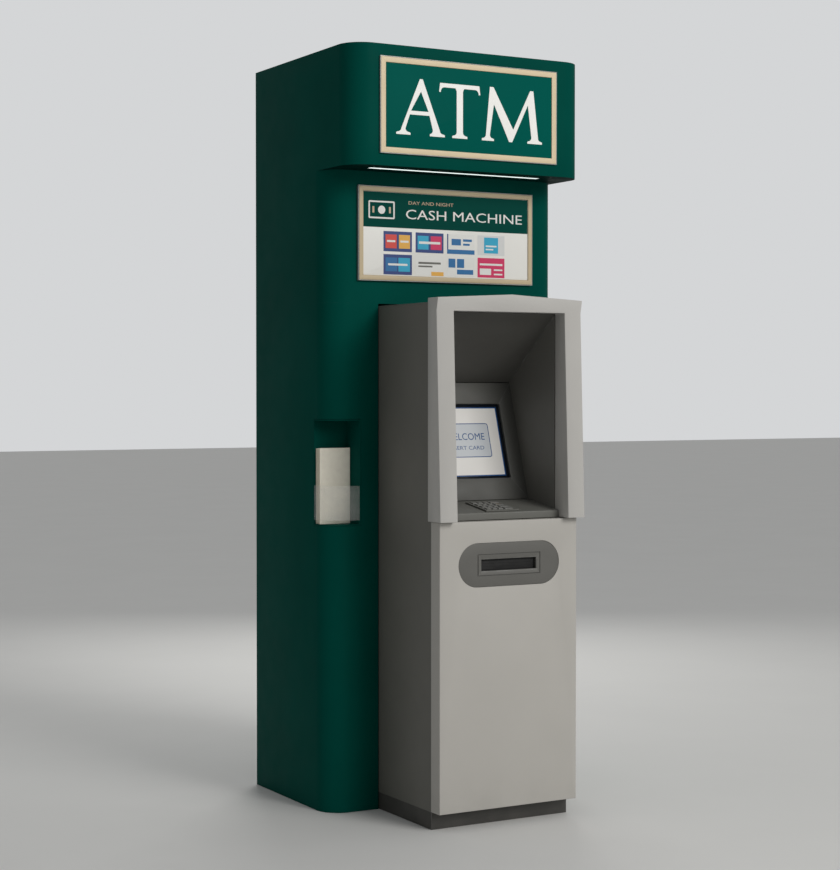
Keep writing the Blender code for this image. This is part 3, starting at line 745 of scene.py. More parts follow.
def mark_edges(mesh: bpy.types.Mesh) -> None:
    """Mark narrow faces, which are turned edges, in a face attribute.

    A face counts where its area divided by its longest side is under 2.6 mm and under a
    quarter of that side, and where it doesn't lie square to an axis.
    """
    count = len(mesh.polygons)
    area, start, total = np.zeros(count), np.zeros(count, int), np.zeros(count, int)
    mesh.polygons.foreach_get("area", area)
    mesh.polygons.foreach_get("loop_start", start)
    mesh.polygons.foreach_get("loop_total", total)
    points = np.zeros(len(mesh.vertices) * 3)
    mesh.vertices.foreach_get("co", points)
    ends = np.zeros(len(mesh.edges) * 2, int)
    mesh.edges.foreach_get("vertices", ends)
    corners = np.zeros(len(mesh.loops), int)
    mesh.loops.foreach_get("edge_index", corners)
    pairs = points.reshape(-1, 3)[ends.reshape(-1, 2)]
    lengths = np.linalg.norm(pairs[:, 0] - pairs[:, 1], axis=1)[corners]
    longest = np.maximum.reduceat(lengths, start)
    width = area / np.maximum(longest, 1e-9)
    normals = np.zeros(count * 3)
    mesh.polygons.foreach_get("normal", normals)
    tilted = np.abs(normals.reshape(-1, 3)).max(axis=1) < SQUARE
    narrow = tilted & (width < NARROW) & (width < longest / SLIM) & (total == 4)
    mesh.attributes.new("edge", "FLOAT", "FACE").data.foreach_set("value", narrow.astype(float))


# ---------------------------------------------------------------- surround tower

@dataclass(frozen=True)
class Surround:
    """Green laminated tower with its projecting canopy, one unbroken skin of bent board."""

    half_w: float = 0.3830
    back: float = 0.4180
    front: float = -0.0530
    canopy: float = -0.1940
    height: float = 2.1340
    soffit: float = 1.8020
    radius: float = 0.0706
    board: float = 0.0180
    cut_half_w: float = 0.2222
    cut_top: float = 1.4310
    niche_side: float = 0.1065
    niche_front: float = 0.0870
    niche_z: Pair = (0.8060, 1.1060)
    lens_x: Pair = (-0.2885, 0.2720)
    lens_y: Pair = (-0.1390, -0.1005)
    window_x: Pair = (-0.2645, 0.2525)
    window_z: Pair = (1.8653, 2.0708)
    door_half_w: float = 0.3646
    door_z: Pair = (0.0115, 1.4320)
    steps: int = 14
    hold: tuple[int, int] = (3, -6)  # where the corners leave the sides, in a plan
    clear: float = 0.0040  # how far the niche's lining stands in from its opening
    band_inset: float = 0.0049
    band_z: Pair = (0.8215, 0.9187)
    band_half: float = 0.0010  # half the clear band's thickness

    def flat_stops(self) -> list[float]:
        """Where upright lines stand on the flat front, left to right."""
        inner = self.half_w - self.radius
        niche = -self.half_w + self.niche_side
        return [-inner, self.lens_x[0], niche, self.window_x[0], -self.cut_half_w, 0.0,
                self.cut_half_w, self.window_x[1], self.lens_x[1], inner]

    def plan(self, front: float) -> Array:
        """Plan of the surround where its flat front stands at a depth.

        It runs down the left side, round the corner and across the front, then up the right
        half in mirror and back along the rear. The tower's plan and the canopy's have the same
        points, one for one.

        Args:
            front: y of the flat front.

        Returns:
            An array of (x, y) points.
        """
        inner, turn = self.half_w - self.radius, front + self.radius
        ys = self.back, self.front + self.niche_front, self.front + self.radius, turn
        bend = arc((-inner, turn), self.radius, 180, 270, self.steps)[1:-1]
        half = np.vstack([[(-self.half_w, y) for y in ys], bend])
        flat = [(x, front) for x in self.flat_stops()]
        rear = [(self.door_half_w, self.back), (-self.door_half_w, self.back)]
        return np.vstack([half, flat, half[::-1] * np.array([-1.0, 1.0]), rear])

    def skin(self) -> tuple[Surface, Surface]:
        """Rows of the tower plan up to the soffit, out along it, then rows of the canopy plan.

        The soffit's rows run from the tower's plan to the canopy's, the shares chosen so that
        the downlight's slot falls between two of them.

        Returns:
            The walls with the top, and the soffit.
        """
        tower, canopy = self.plan(self.front), self.plan(self.canopy)
        low = [0.0, self.door_z[0], *self.niche_z, self.cut_top, self.door_z[1], self.soffit]
        reach = self.front - self.canopy
        shares = [(self.front - y) / reach for y in self.lens_y[::-1]]
        high = [self.soffit, *self.window_z, self.height]
        rows = [level(tower, z) for z in low]
        for share in shares:
            plan = tower + (canopy - tower) * share
            plan[list(self.hold)] = tower[list(self.hold)]
            rows.append(level(plan, self.soffit))
        rows += [level(canopy, z) for z in high]
        points = np.stack(rows)
        kept, under = self.kept(points), self.under(points)
        walls = grid(points, round_columns=True, keep=kept & ~under)
        last = (len(rows) - 1) * len(tower)
        walls.faces.append(tuple(range(last, last + len(tower))))
        return walls, grid(points, round_columns=True, keep=kept & under)

    def under(self, points: Array) -> Array:
        """Which cells lie in the soffit."""
        heights = points[..., 2]
        return np.abs(heights[:-1] + heights[1:] - 2 * self.soffit) < WELD

    def kept(self, points: Array) -> Array:
        """Which cells are board: all but the machine's opening, the niche, the downlight's slot,
        the sign's light box and the rear door's opening."""
        after = np.roll(points, -1, axis=1)
        middle = (points[:-1] + points[1:] + after[:-1] + after[1:]) / 4
        x, y, z = middle[..., 0], middle[..., 1], middle[..., 2]
        opening = (np.abs(y - self.front) < WELD) & (np.abs(x) < self.cut_half_w) & (z < self.cut_top)
        at_corner = (x < -self.half_w + self.niche_side) & (y < self.front + self.niche_front)
        niche = at_corner & within(z, self.niche_z)
        slot = (np.abs(z - self.soffit) < WELD) & within(x, self.lens_x) & within(y, self.lens_y)
        window = (np.abs(y - self.canopy) < WELD) & within(x, self.window_x)
        window &= within(z, self.window_z)
        rear = (np.abs(y - self.back) < WELD) & (np.abs(x) < self.door_half_w)
        rear &= within(z, self.door_z)
        return ~(opening | niche | slot | window | rear)

    def liner(self) -> Surface:
        """Niche lining: a C-shaped section carried from the side, round the corner, to the front.

        Each section runs in from the rounded corner along the floor, up the wall, and back out
        along the ceiling.
        """
        side, deep = self.niche_side - self.clear, self.niche_front - self.clear
        corner = (-self.half_w + side, self.front + deep)
        wall = np.vstack([np.linspace((-self.half_w, corner[1]), corner, 8),
                          np.linspace(corner, (corner[0], self.front), 8)[1:]])
        inner = (-self.half_w + self.radius, self.front + self.radius)
        mouth = np.vstack([[(-self.half_w, corner[1])], arc(inner, self.radius - 0.0005, 180, 270, 12),
                           [(corner[0], self.front)]])
        low, high = self.niche_z[0] + self.clear, self.niche_z[1] - self.clear
        rows = (mouth, low), (wall, low), (wall, high), (mouth, high)
        return grid(np.stack([level(plan, z) for plan, z in rows]))

    def retainer(self) -> Surface:
        """Clear band: a thin rectangle with turned edges carried round the rounded corner."""
        (low, high), half, inset = self.band_z, self.band_half, self.band_inset
        centre = (-self.half_w + self.radius, self.front + self.radius)
        middle = self.radius - half - 0.0002
        bend = arc(centre, middle, 180, 270, 20)
        side = (bend[0][0], self.front + self.niche_front - inset)
        front = (-self.half_w + self.niche_side - inset, bend[-1][1])
        path = np.vstack([[side], bend, [front]])
        along = headings(path)
        out = np.column_stack([along[:, 1], -along[:, 0]])
        section = Loop(half, (high - low) / 2, 0.0006, v=(high + low) / 2).points(2)
        plan = path[:, None] + out[:, None] * section[None, :, 0, None]
        ups = np.broadcast_to(section[None, :, 1, None], (*plan.shape[:2], 1))
        return barrel(np.concatenate([plan, ups], axis=-1))

    def build(self) -> None:
        """Make the skin, the niche's lining and its clear band."""
        stood_for = ("side_panel_left", "side_panel_right", "corner_left_lower", "corner_left_upper",
                     "corner_right", "jamb_left", "header_panel", "canopy_side_left",
                     "canopy_side_right", "canopy_front", "canopy_soffit", "canopy_top", "rear_panel")
        walls, soffit = self.skin()
        shell = Piece("surround_shell", "green_laminate", (LAMINATE, SOFFIT_GREEN), replaces=stood_for,
                      wall=self.board, soften=0.0009, soften_angle=50.0, clamp=True)
        # the soffit takes the darker copy of the laminate, painted shade
        shell.add(walls).add(soffit, 1).build()
        Piece("niche_lining", "green_laminate", (LAMINATE,), replaces=("niche_liner",),
              wall=-0.003).add(self.liner()).build()
        band = Piece("envelope_band", "clear_acrylic", (ACRYLIC,),
                     replaces=("envelope_retainer",)).add(self.retainer()).build()
        band.visible_shadow = False


@dataclass(frozen=True)
class Envelopes:
    """Deposit envelopes standing side by side in the niche."""

    count: int = 9
    gap: float = 0.0002
    sealed: float = 0.25  # thickness at the sealed edges as a share of the middle's
    uneven: Pair = (0.0009, 0.0016)  # how far envelopes stand out of line, across and down

    def sheet(self, low: Array, high: Array) -> Surface:
        """One stuffed envelope: each face swells by a sine across times a sine up.

        Args:
            low: lowest corner.
            high: highest corner.

        Returns:
            A closed pillow with sealed edges.
        """
        s, t = np.meshgrid(np.linspace(0, 1, 17), np.linspace(0, 1, 21), indexing="ij")
        swell = (np.sin(math.pi * s) * np.sin(math.pi * t)) ** 0.5
        x, z = low[0] + s * (high[0] - low[0]), low[2] + t * (high[2] - low[2])
        middle = (low[1] + high[1]) / 2
        half = (high[1] - low[1]) / 2 - self.gap
        puff = half * (self.sealed + (1 - self.sealed) * swell)
        faces = [np.stack([x, middle + side * puff, z], axis=-1) for side in (-1, 1)]
        rims = [np.concatenate([face[0, :], face[1:, -1], face[-1, -2::-1], face[-2:0:-1, 0]])
                for face in faces]
        edge = grid(np.stack(rims), round_columns=True)
        return grid(faces[0]).joined(grid(faces[1])).joined(edge)

    def build(self) -> None:
        """Make the stack, each envelope shifted by a sine of its number, across and down."""
        low, high = (np.array(corner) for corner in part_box("envelope_stack"))
        pitch = (high[1] - low[1]) / self.count
        piece = Piece("envelope_pack", "envelope_paper", (PAPER, PAPER_SHADE), "envelopes",
                      ("envelope_stack",))
        for number in range(self.count):
            across = self.uneven[0] * math.sin(2.4 * number)
            down = self.uneven[1] * abs(math.sin(1.7 * number))
            near = np.array([low[0] + abs(across), low[1] + pitch * number, low[2]])
            far = np.array([high[0] - self.uneven[0] + across, near[1] + pitch, high[2] - down])
            # every other envelope takes the darker copy of the paper, painted shade
            piece.add(self.sheet(near, far), number % 2)
        piece.build()


@dataclass(frozen=True)
class RearDoor:
    """Service door in the tower's rear: a laminated board with vent slots, hinges and a lock."""

    vents: tuple[float, ...] = (1.20, 1.24, 1.28)
    vent_half: float = 0.12
    vent_h: float = 0.012
    step: float = 0.0012  # how far the board lies behind the hinges' outermost point
    lock_at: Pair = (-0.335, 0.90)
    hinges: tuple[float, ...] = (0.22, 0.72, 1.22)

    def build(self) -> None:
        """Make the board as a grid with the vent cells left out, then its fittings."""
        low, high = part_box("rear_door")
        ups = [low[2]] + [z for vent in self.vents for z in (vent, vent + self.vent_h)] + [high[2]]
        u, v = np.meshgrid([low[0], -self.vent_half, self.vent_half, high[0]], ups, indexing="ij")
        keep = np.ones((3, len(ups) - 1), bool)
        keep[1, 1::2] = False
        face = high[1] - self.step
        points = np.stack([u, np.full_like(u, face), v], axis=-1)
        board = Piece("rear_service_door", "green_laminate", (LAMINATE,), "rear_door", ("rear_door",),
                      wall=0.0165, soften=0.0010, facing=(0.0, 1.0, 0.0))
        board.add(grid(points, keep=keep)).build()
        fittings = Piece("rear_door_fittings", "plain_steel", (STEEL, BLACK), "rear_door")
        plane = facing_back(face)
        rose = np.array([(0.017, -0.001), (0.017, 0.0002), (0.0162, 0.0009), (0.0115, 0.0010),
                         (0.0105, 0.0008)])
        fittings.add(turned(rose, plane, *self.lock_at))
        # the keyway is a black film, painted shade of a hole
        fittings.add(film((-0.3362, -0.3338), (0.8955, 0.9045), 0.0008), 1, plane)
        knuckle = np.array([(0.0010, -0.04), (0.0038, -0.04), (0.0044, -0.0394), (0.0044, 0.0394),
                            (0.0038, 0.04), (0.0010, 0.04)])
        for z in self.hinges:
            fittings.add(turned(knuckle, facing_up(z), low[0] + 0.0065, high[1] - 0.0048, 16))
        fittings.build()


# ---------------------------------------------------------------- sign and information panel

@dataclass(frozen=True)
class Letters:
    """Serif capitals drawn from stems, slants and bracketed feet, for the sign."""

    stem: float = 0.0225
    hair: float = 0.0130
    serif: float = 0.0070
    bracket: float = 0.0100

    def foot(self, left: float, right: float, base: float, reach: float,
             other: float | None = None) -> tuple[Array, Array]:
        """Both sides of a bracketed foot under a stroke.

        Each side leaves the stroke along a quarter curve, runs out to the serif's tip, and ends
        square on the base line.

        Args:
            left: left side of the stroke.
            right: its right side.
            base: height of the base line.
            reach: how far the serif stands out on the right.
            other: how far it stands out on the left, where that differs.

        Returns:
            The left side from the stroke down, and the right side from the base up.
        """
        turn = np.linspace(0, math.pi / 2, 6)
        other = reach if other is None else other
        out = 0.75 * (1 - np.cos(turn))
        rise = self.serif + self.bracket * (1 - np.sin(turn))
        near = np.column_stack([left - other * out, base + rise])
        far = np.column_stack([right + reach * out, base + rise])
        tips = [(left - other, base + self.serif * 0.75), (left - other, base)]
        others = [(right + reach, base), (right + reach, base + self.serif * 0.75)]
        return np.vstack([near, tips]), np.vstack([others, far[::-1]])

    def letter_a(self, left: float, right: float, low: float, high: float) -> list[Array]:
        """A: a thin left slant, a thick right slant, bracketed feet and a low cross bar."""
        reach, apex = 0.016, (left + right) / 2 + 0.002
        one, two = self.foot(left + reach, left + reach + self.hair, low, reach)
        three, four = self.foot(right - reach - self.stem, right - reach, low, reach, 0.0095)
        top = [(apex + 0.0045, high), (apex - 0.0045, high)]

        def slant(foot_x: float, top_x: float, z: float) -> Pair:
            """A point of a slanting side at a height."""
            start = low + self.serif + self.bracket
            return foot_x + (top_x - foot_x) * (z - start) / (high - start), z

        bar, thick = low + 0.056, 0.0105
        inner_left, inner_right = left + reach + self.hair, right - reach - self.stem
        peak, drop = apex - 0.001, high - 0.034
        outer = np.vstack([one, two, [slant(inner_left, peak, bar), slant(inner_right, peak, bar)],
                           three, four, top])
        hole = np.array([slant(inner_left, peak, bar + thick), slant(inner_right, peak, bar + thick),
                         (peak, drop)])
        return [outer, hole]

    def letter_t(self, left: float, right: float, low: float, high: float) -> list[Array]:
        """T: a stem on a bracketed foot under a bar whose ends drop in curved beaks."""
        middle, thick, beak = (left + right) / 2, 0.0115, 0.0255
        half = self.stem * 0.45
        one, two = self.foot(middle - half, middle + half, low, 0.0145)
        turn = np.linspace(0, math.pi / 2, 7)
        beak_right = np.column_stack([right - 0.0165 + 0.0115 * np.sin(turn),
                                      high - thick - (beak - thick) * (1 - np.cos(turn))])
        beak_left = beak_right[::-1] * np.array([-1.0, 1.0]) + np.array([2 * middle, 0.0])
        ends_right = [(right, high - beak + 0.0008), (right - 0.0030, high)]
        ends_left = [(left + 0.0030, high), (left, high - beak + 0.0008)]
        neck_right = [(middle + half, high - thick - 0.008), (middle + half + 0.004, high - thick)]
        neck_left = [(middle - half - 0.004, high - thick), (middle - half, high - thick - 0.008)]
        return [np.vstack([one, two, neck_right, beak_right, ends_right, ends_left, beak_left, neck_left])]

    def letter_m(self, left: float, right: float, low: float, high: float) -> list[Array]:
        """M: splayed legs on feet, a thick slant down to the valley and a thin one up."""
        reach, lean, valley = 0.0135, 0.016, low + 0.0005
        one, two = self.foot(left + reach, left + reach + self.hair, low, reach)
        three, four = self.foot(right - reach - self.stem, right - reach, low, reach)
        top_left = left + reach + lean
        top_right = right - reach - lean
        middle = (left + right) / 2 - 0.005
        inner = [(top_left + 0.0105, high - 0.047), (middle - 0.005, valley), (middle + 0.005, valley),
                 (top_right - self.stem + 0.004, high - 0.042)]
        crown = [(top_right, high - 0.001), (top_right - 0.011, high - 0.001), (middle + 0.0085, low + 0.036),
                 (top_left + 0.009, high + 0.001), (top_left - 0.003, high + 0.001)]
        return [np.vstack([one, two, inner, three, four, crown])]

    def word(self, depth: float) -> Surface:
        """The three letters of the word ATM, standing proud of the face."""
        low, high, thick = 1.8899, 2.0460, 0.0009
        letters = (self.letter_a(-0.2450, -0.0905, low, high - 0.001),
                   self.letter_t(-0.1088, 0.0250, low, high - 0.006),
                   self.letter_m(0.0302, 0.2320, low, high - 0.0055))
        return functools.reduce(Surface.joined, [outlined(loops, depth, thick) for loops in letters])


@dataclass(frozen=True)
class Sign:
    """Tan frame hinged on the canopy, its green face, and the word on it."""

    border: float = 0.0172
    lip: float = 0.0020
    face_t: float = 0.0040

    def build(self) -> None:
        """Make the frame with its grey outer lip, the face and the letters."""
        low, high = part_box("sign_frame")
        plane = facing_front(high[1])
        depth = high[1] - low[1]
        outer = front_of(low, high, 0.0010)
        inner, seat = outer.grown(-self.border), outer.grown(-self.lip)
        frame_piece = Piece("sign_surround", "tan_frame", (TAN, TRIM), "sign_door", ("sign_frame",))
        frame_piece.add(collar(outer, seat, depth - 0.0002, 0.0005), 1, plane)
        frame_piece.add(collar(seat.grown(-0.0001), inner, depth, 0.0010), 0, plane)
        frame_piece.build()
        face = front_of(*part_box("sign_face"), 0.0008)
        sheet = Piece("sign_plate", "green_sign_face", (SIGN_GREEN, LETTER_WHITE), "sign_door",
                      ("sign_face",))
        sheet.add(slab(face, self.face_t, 0.0004), 0, plane)
        sheet.add(Letters().word(self.face_t + 0.00002), 1, plane)
        sheet.build()


class Ink(Enum):
    """What a part of the information panel is printed in; the value is its place in the finishes."""

    CARD = 0
    HEADER = 1
    WHITE = 2
    TAN = 3
    NAVY = 4
    BLUE = 5
    SKY = 6
    RED = 7
    CRIMSON = 8
    AMBER = 9
    GREY = 10
    DARK = 11


@dataclass(frozen=True)
class Decal:
    """A bank card pictogram: its ground and, in its own colours, a few plain bars."""

    ground: Ink
    bars: tuple[tuple[float, float, float, float, Ink], ...]  # left, right, low, high shares and ink


@dataclass(frozen=True)
class InfoPanel:
    """Framed panel over the machine: a header band with a plain emblem and eight card pictograms."""

    border: float = 0.0154
    lip: float = 0.0022
    over: float = 0.0025  # how far the card reaches past its seat, up to the frame
    split: float = 1.6460
    columns: tuple[float, ...] = (-0.163, -0.059, 0.045, 0.1475)
    rows: tuple[float, ...] = (1.6075, 1.5425)
    size: Pair = (0.0920, 0.0570)
    emblem_at: Pair = (-0.2150, 1.6950)

    def decals(self) -> tuple[Decal, ...]:
        """The eight pictograms, row by row."""
        return (
            Decal(Ink.NAVY, ((0.07, 0.46, 0.16, 0.84, Ink.RED), (0.54, 0.93, 0.16, 0.84, Ink.AMBER),
                             (0.12, 0.41, 0.46, 0.56, Ink.WHITE), (0.59, 0.88, 0.46, 0.56, Ink.WHITE))),
            Decal(Ink.NAVY, ((0.07, 0.46, 0.16, 0.84, Ink.SKY), (0.54, 0.93, 0.16, 0.84, Ink.CRIMSON),
                             (0.12, 0.88, 0.44, 0.56, Ink.WHITE))),
            Decal(Ink.WHITE, ((0.00, 1.00, 0.00, 0.22, Ink.BLUE), (0.00, 0.04, 0.22, 1.00, Ink.NAVY),
                              (0.16, 0.50, 0.44, 0.76, Ink.BLUE), (0.58, 0.90, 0.64, 0.76, Ink.BLUE),
                              (0.58, 0.82, 0.44, 0.54, Ink.BLUE))),
            Decal(Ink.GREY, ((0.24, 0.76, 0.10, 0.90, Ink.SKY), (0.30, 0.70, 0.42, 0.50, Ink.WHITE),
                             (0.30, 0.58, 0.26, 0.33, Ink.WHITE))),
            Decal(Ink.NAVY, ((0.07, 0.48, 0.16, 0.84, Ink.BLUE), (0.52, 0.93, 0.16, 0.84, Ink.SKY),
                             (0.16, 0.84, 0.45, 0.55, Ink.WHITE))),
            Decal(Ink.WHITE, ((0.10, 0.90, 0.58, 0.68, Ink.DARK), (0.10, 0.60, 0.42, 0.50, Ink.DARK),
                              (0.56, 1.00, 0.00, 0.20, Ink.AMBER))),
            Decal(Ink.WHITE, ((0.05, 0.30, 0.45, 0.90, Ink.BLUE), (0.36, 0.62, 0.45, 0.90, Ink.BLUE),
                              (0.36, 0.95, 0.12, 0.36, Ink.BLUE))),
            Decal(Ink.CRIMSON, ((0.08, 0.92, 0.62, 0.72, Ink.WHITE), (0.08, 0.50, 0.14, 0.46, Ink.WHITE),
                                (0.60, 0.92, 0.14, 0.22, Ink.WHITE), (0.60, 0.92, 0.36, 0.44, Ink.WHITE))),
        )

    def emblem(self, piece: Piece, plane: Plane, depth: float) -> None:
        """A plain banknote: a frame, a disc in its middle and a bar at each end."""
        middle = self.emblem_at
        outer = Loop(0.0420, 0.0250, 0.004, depth, *middle)
        piece.add(collar(outer, outer.grown(-0.0045), PRINT, 0.00005), Ink.WHITE.value, plane)
        disc = Loop(0.0115, 0.0115, 0.0114, depth, *middle)
        piece.add(laid(disc, PRINT, 8), Ink.WHITE.value, plane)
        for side in (-1, 1):
            u = middle[0] + side * 0.0265
            bar = film((u - 0.003, u + 0.003), (middle[1] - 0.009, middle[1] + 0.009), depth)
            piece.add(bar, Ink.TAN.value, plane)

    def build(self) -> None:
        """Make the frame, the white panel and everything printed on it."""
        low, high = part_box("info_frame")
        plane = facing_front(high[1])
        depth = high[1] - low[1]
        outer = front_of(low, high, 0.0015)
        frame_piece = Piece("info_surround", "tan_frame", (TAN_SHADE, TRIM), replaces=("info_frame",))
        frame_piece.add(collar(outer, outer.grown(-self.lip), depth - 0.0010, 0.0006), 1, plane)
        seat = outer.grown(-self.lip - 0.0001)
        frame_piece.add(collar(seat, outer.grown(-self.border), depth, 0.0016), 0, plane)
        frame_piece.build()
        low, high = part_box("info_panel")
        inks = (PANEL_WHITE, HEADER_GREEN, INK_WHITE, INK_TAN, INK_NAVY, INK_BLUE, INK_SKY, INK_RED,
                INK_CRIMSON, INK_AMBER, INK_GREY, BODY_GREY)
        piece = Piece("info_card", "white_panel", inks, replaces=("info_panel",))
        sheet = high[1] - low[1] - 2 * PRINT
        card = front_of(low, high, 0.0008).grown(self.over)
        piece.add(slab(card, sheet, 0.0004), 0, plane)
        reach = self.over - 0.0006
        header = film((low[0] - reach, high[0] + reach), (self.split, high[2] + reach), sheet)
        piece.add(header, Ink.HEADER.value, plane)
        above = sheet + PRINT
        self.emblem(piece, plane, above)
        title = lettering("CASH MACHINE", 0.0270, (0.0585, 1.6860), above, 0.3900)
        piece.add(title, Ink.WHITE.value, plane)
        hours = lettering("DAY AND NIGHT", 0.0095, (-0.0540, 1.7185), above, 0.1480)
        piece.add(hours, Ink.TAN.value, plane)
        for number, decal in enumerate(self.decals()):
            u, v = self.columns[number % 4], self.rows[number // 4]
            left, base = u - self.size[0] / 2, v - self.size[1] / 2
            ground = film((left, left + self.size[0]), (base, base + self.size[1]), sheet)
            piece.add(ground, decal.ground.value, plane)
            for layer, (start, end, bottom, top, ink) in enumerate(decal.bars):
                us = (left + start * self.size[0], left + end * self.size[0])
                vs = (base + bottom * self.size[1], base + top * self.size[1])
                piece.add(film(us, vs, above + layer * 0.00004), ink.value, plane)
        piece.build()


@dataclass(frozen=True)
class Downlight:
    """Opal lens in its slot under the canopy."""

    rims: Pair = (0.0012, 0.0075)  # width of the rim at the ends and along the sides

    def build(self) -> None:
        """Make the lens with a rim round it in the soffit's darker green, which is painted shade."""
        low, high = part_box("downlight_lens")
        plane = Plane((0.0, 0.0, high[2]), (1.0, 0.0, 0.0), (0.0, -1.0, 0.0), (0.0, 0.0, -1.0))
        rim = loop_of((low[0], high[0]), (-high[1], -low[1]), 0.0012)
        depth = high[2] - low[2]
        piece = Piece("downlight", "opal_lens", (OPAL, SOFFIT_GREEN), replaces=("downlight_lens",))
        ends, sides = self.rims
        mouth = Loop(rim.half_u - ends, rim.half_v - sides, 0.0010, 0.0, rim.u, rim.v)
        piece.add(slab(mouth.grown(-0.0001), depth - 0.0004, 0.0006), 0, plane)
        # the rim in the soffit's darker green, painted shade
        piece.add(collar(rim, mouth, depth, 0.0003), 1, plane)
        piece.build()


# ---------------------------------------------------------------- machine cabinet

@dataclass(frozen=True)
class Cabinet:
    """Sheet-metal body of the machine on its plinth."""

    sheet: float = 0.0020
    bend: float = 0.0030
    flange: float = 0.0042  # short, so that the lock's tongue passes it

    def wrap(self, low: Array, high: Array) -> Surface:
        """Side, rear and side sheets bent from one: a plan with rounded bends, carried upwards."""
        left, right = low[0] + self.bend, high[0] - self.bend
        near, far = low[1] + self.bend, high[1] - self.bend
        corners = ((left, near, 270), (left, far, 180), (right, far, 90), (right, near, 360))
        bends = [arc((x, y), self.bend, start, start - 90, 4) for x, y, start in corners]
        ends = [(low[0] + self.flange, low[1])], [(high[0] - self.flange, low[1])]
        plan = np.vstack([ends[0], *bends, ends[1]])
        return grid(np.stack([level(plan, z) for z in np.linspace(low[2], high[2], 5)]))

    def build(self) -> None:
        """Make the wrap, the top and the plinth."""
        low, high = np.array(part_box("cabinet_side_left")[0]), np.array(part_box("cabinet_top")[1])
        top = np.array([high[0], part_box("cabinet_back")[1][1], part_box("cabinet_back")[1][2]])
        stood_for = ("cabinet_side_left", "cabinet_side_right", "cabinet_back")
        Piece("cabinet_wrap", "dark_grey_paint", (BODY_GREY,), replaces=stood_for,
              wall=self.sheet).add(self.wrap(low, top)).build()
        lid_low, lid_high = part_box("cabinet_top")
        Piece("cabinet_lid", "dark_grey_paint", (BODY_GREY,), replaces=("cabinet_top",)).add(
            block(tuple(lid_low), tuple(lid_high), 0.0006, 0.003)).build()
        foot_low, foot_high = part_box("plinth")
        Piece("plinth_box", "bezel_grey", (PLINTH_GREY,), replaces=("plinth",)).add(
            block(tuple(foot_low), tuple(foot_high), 0.0008, 0.002)).build()


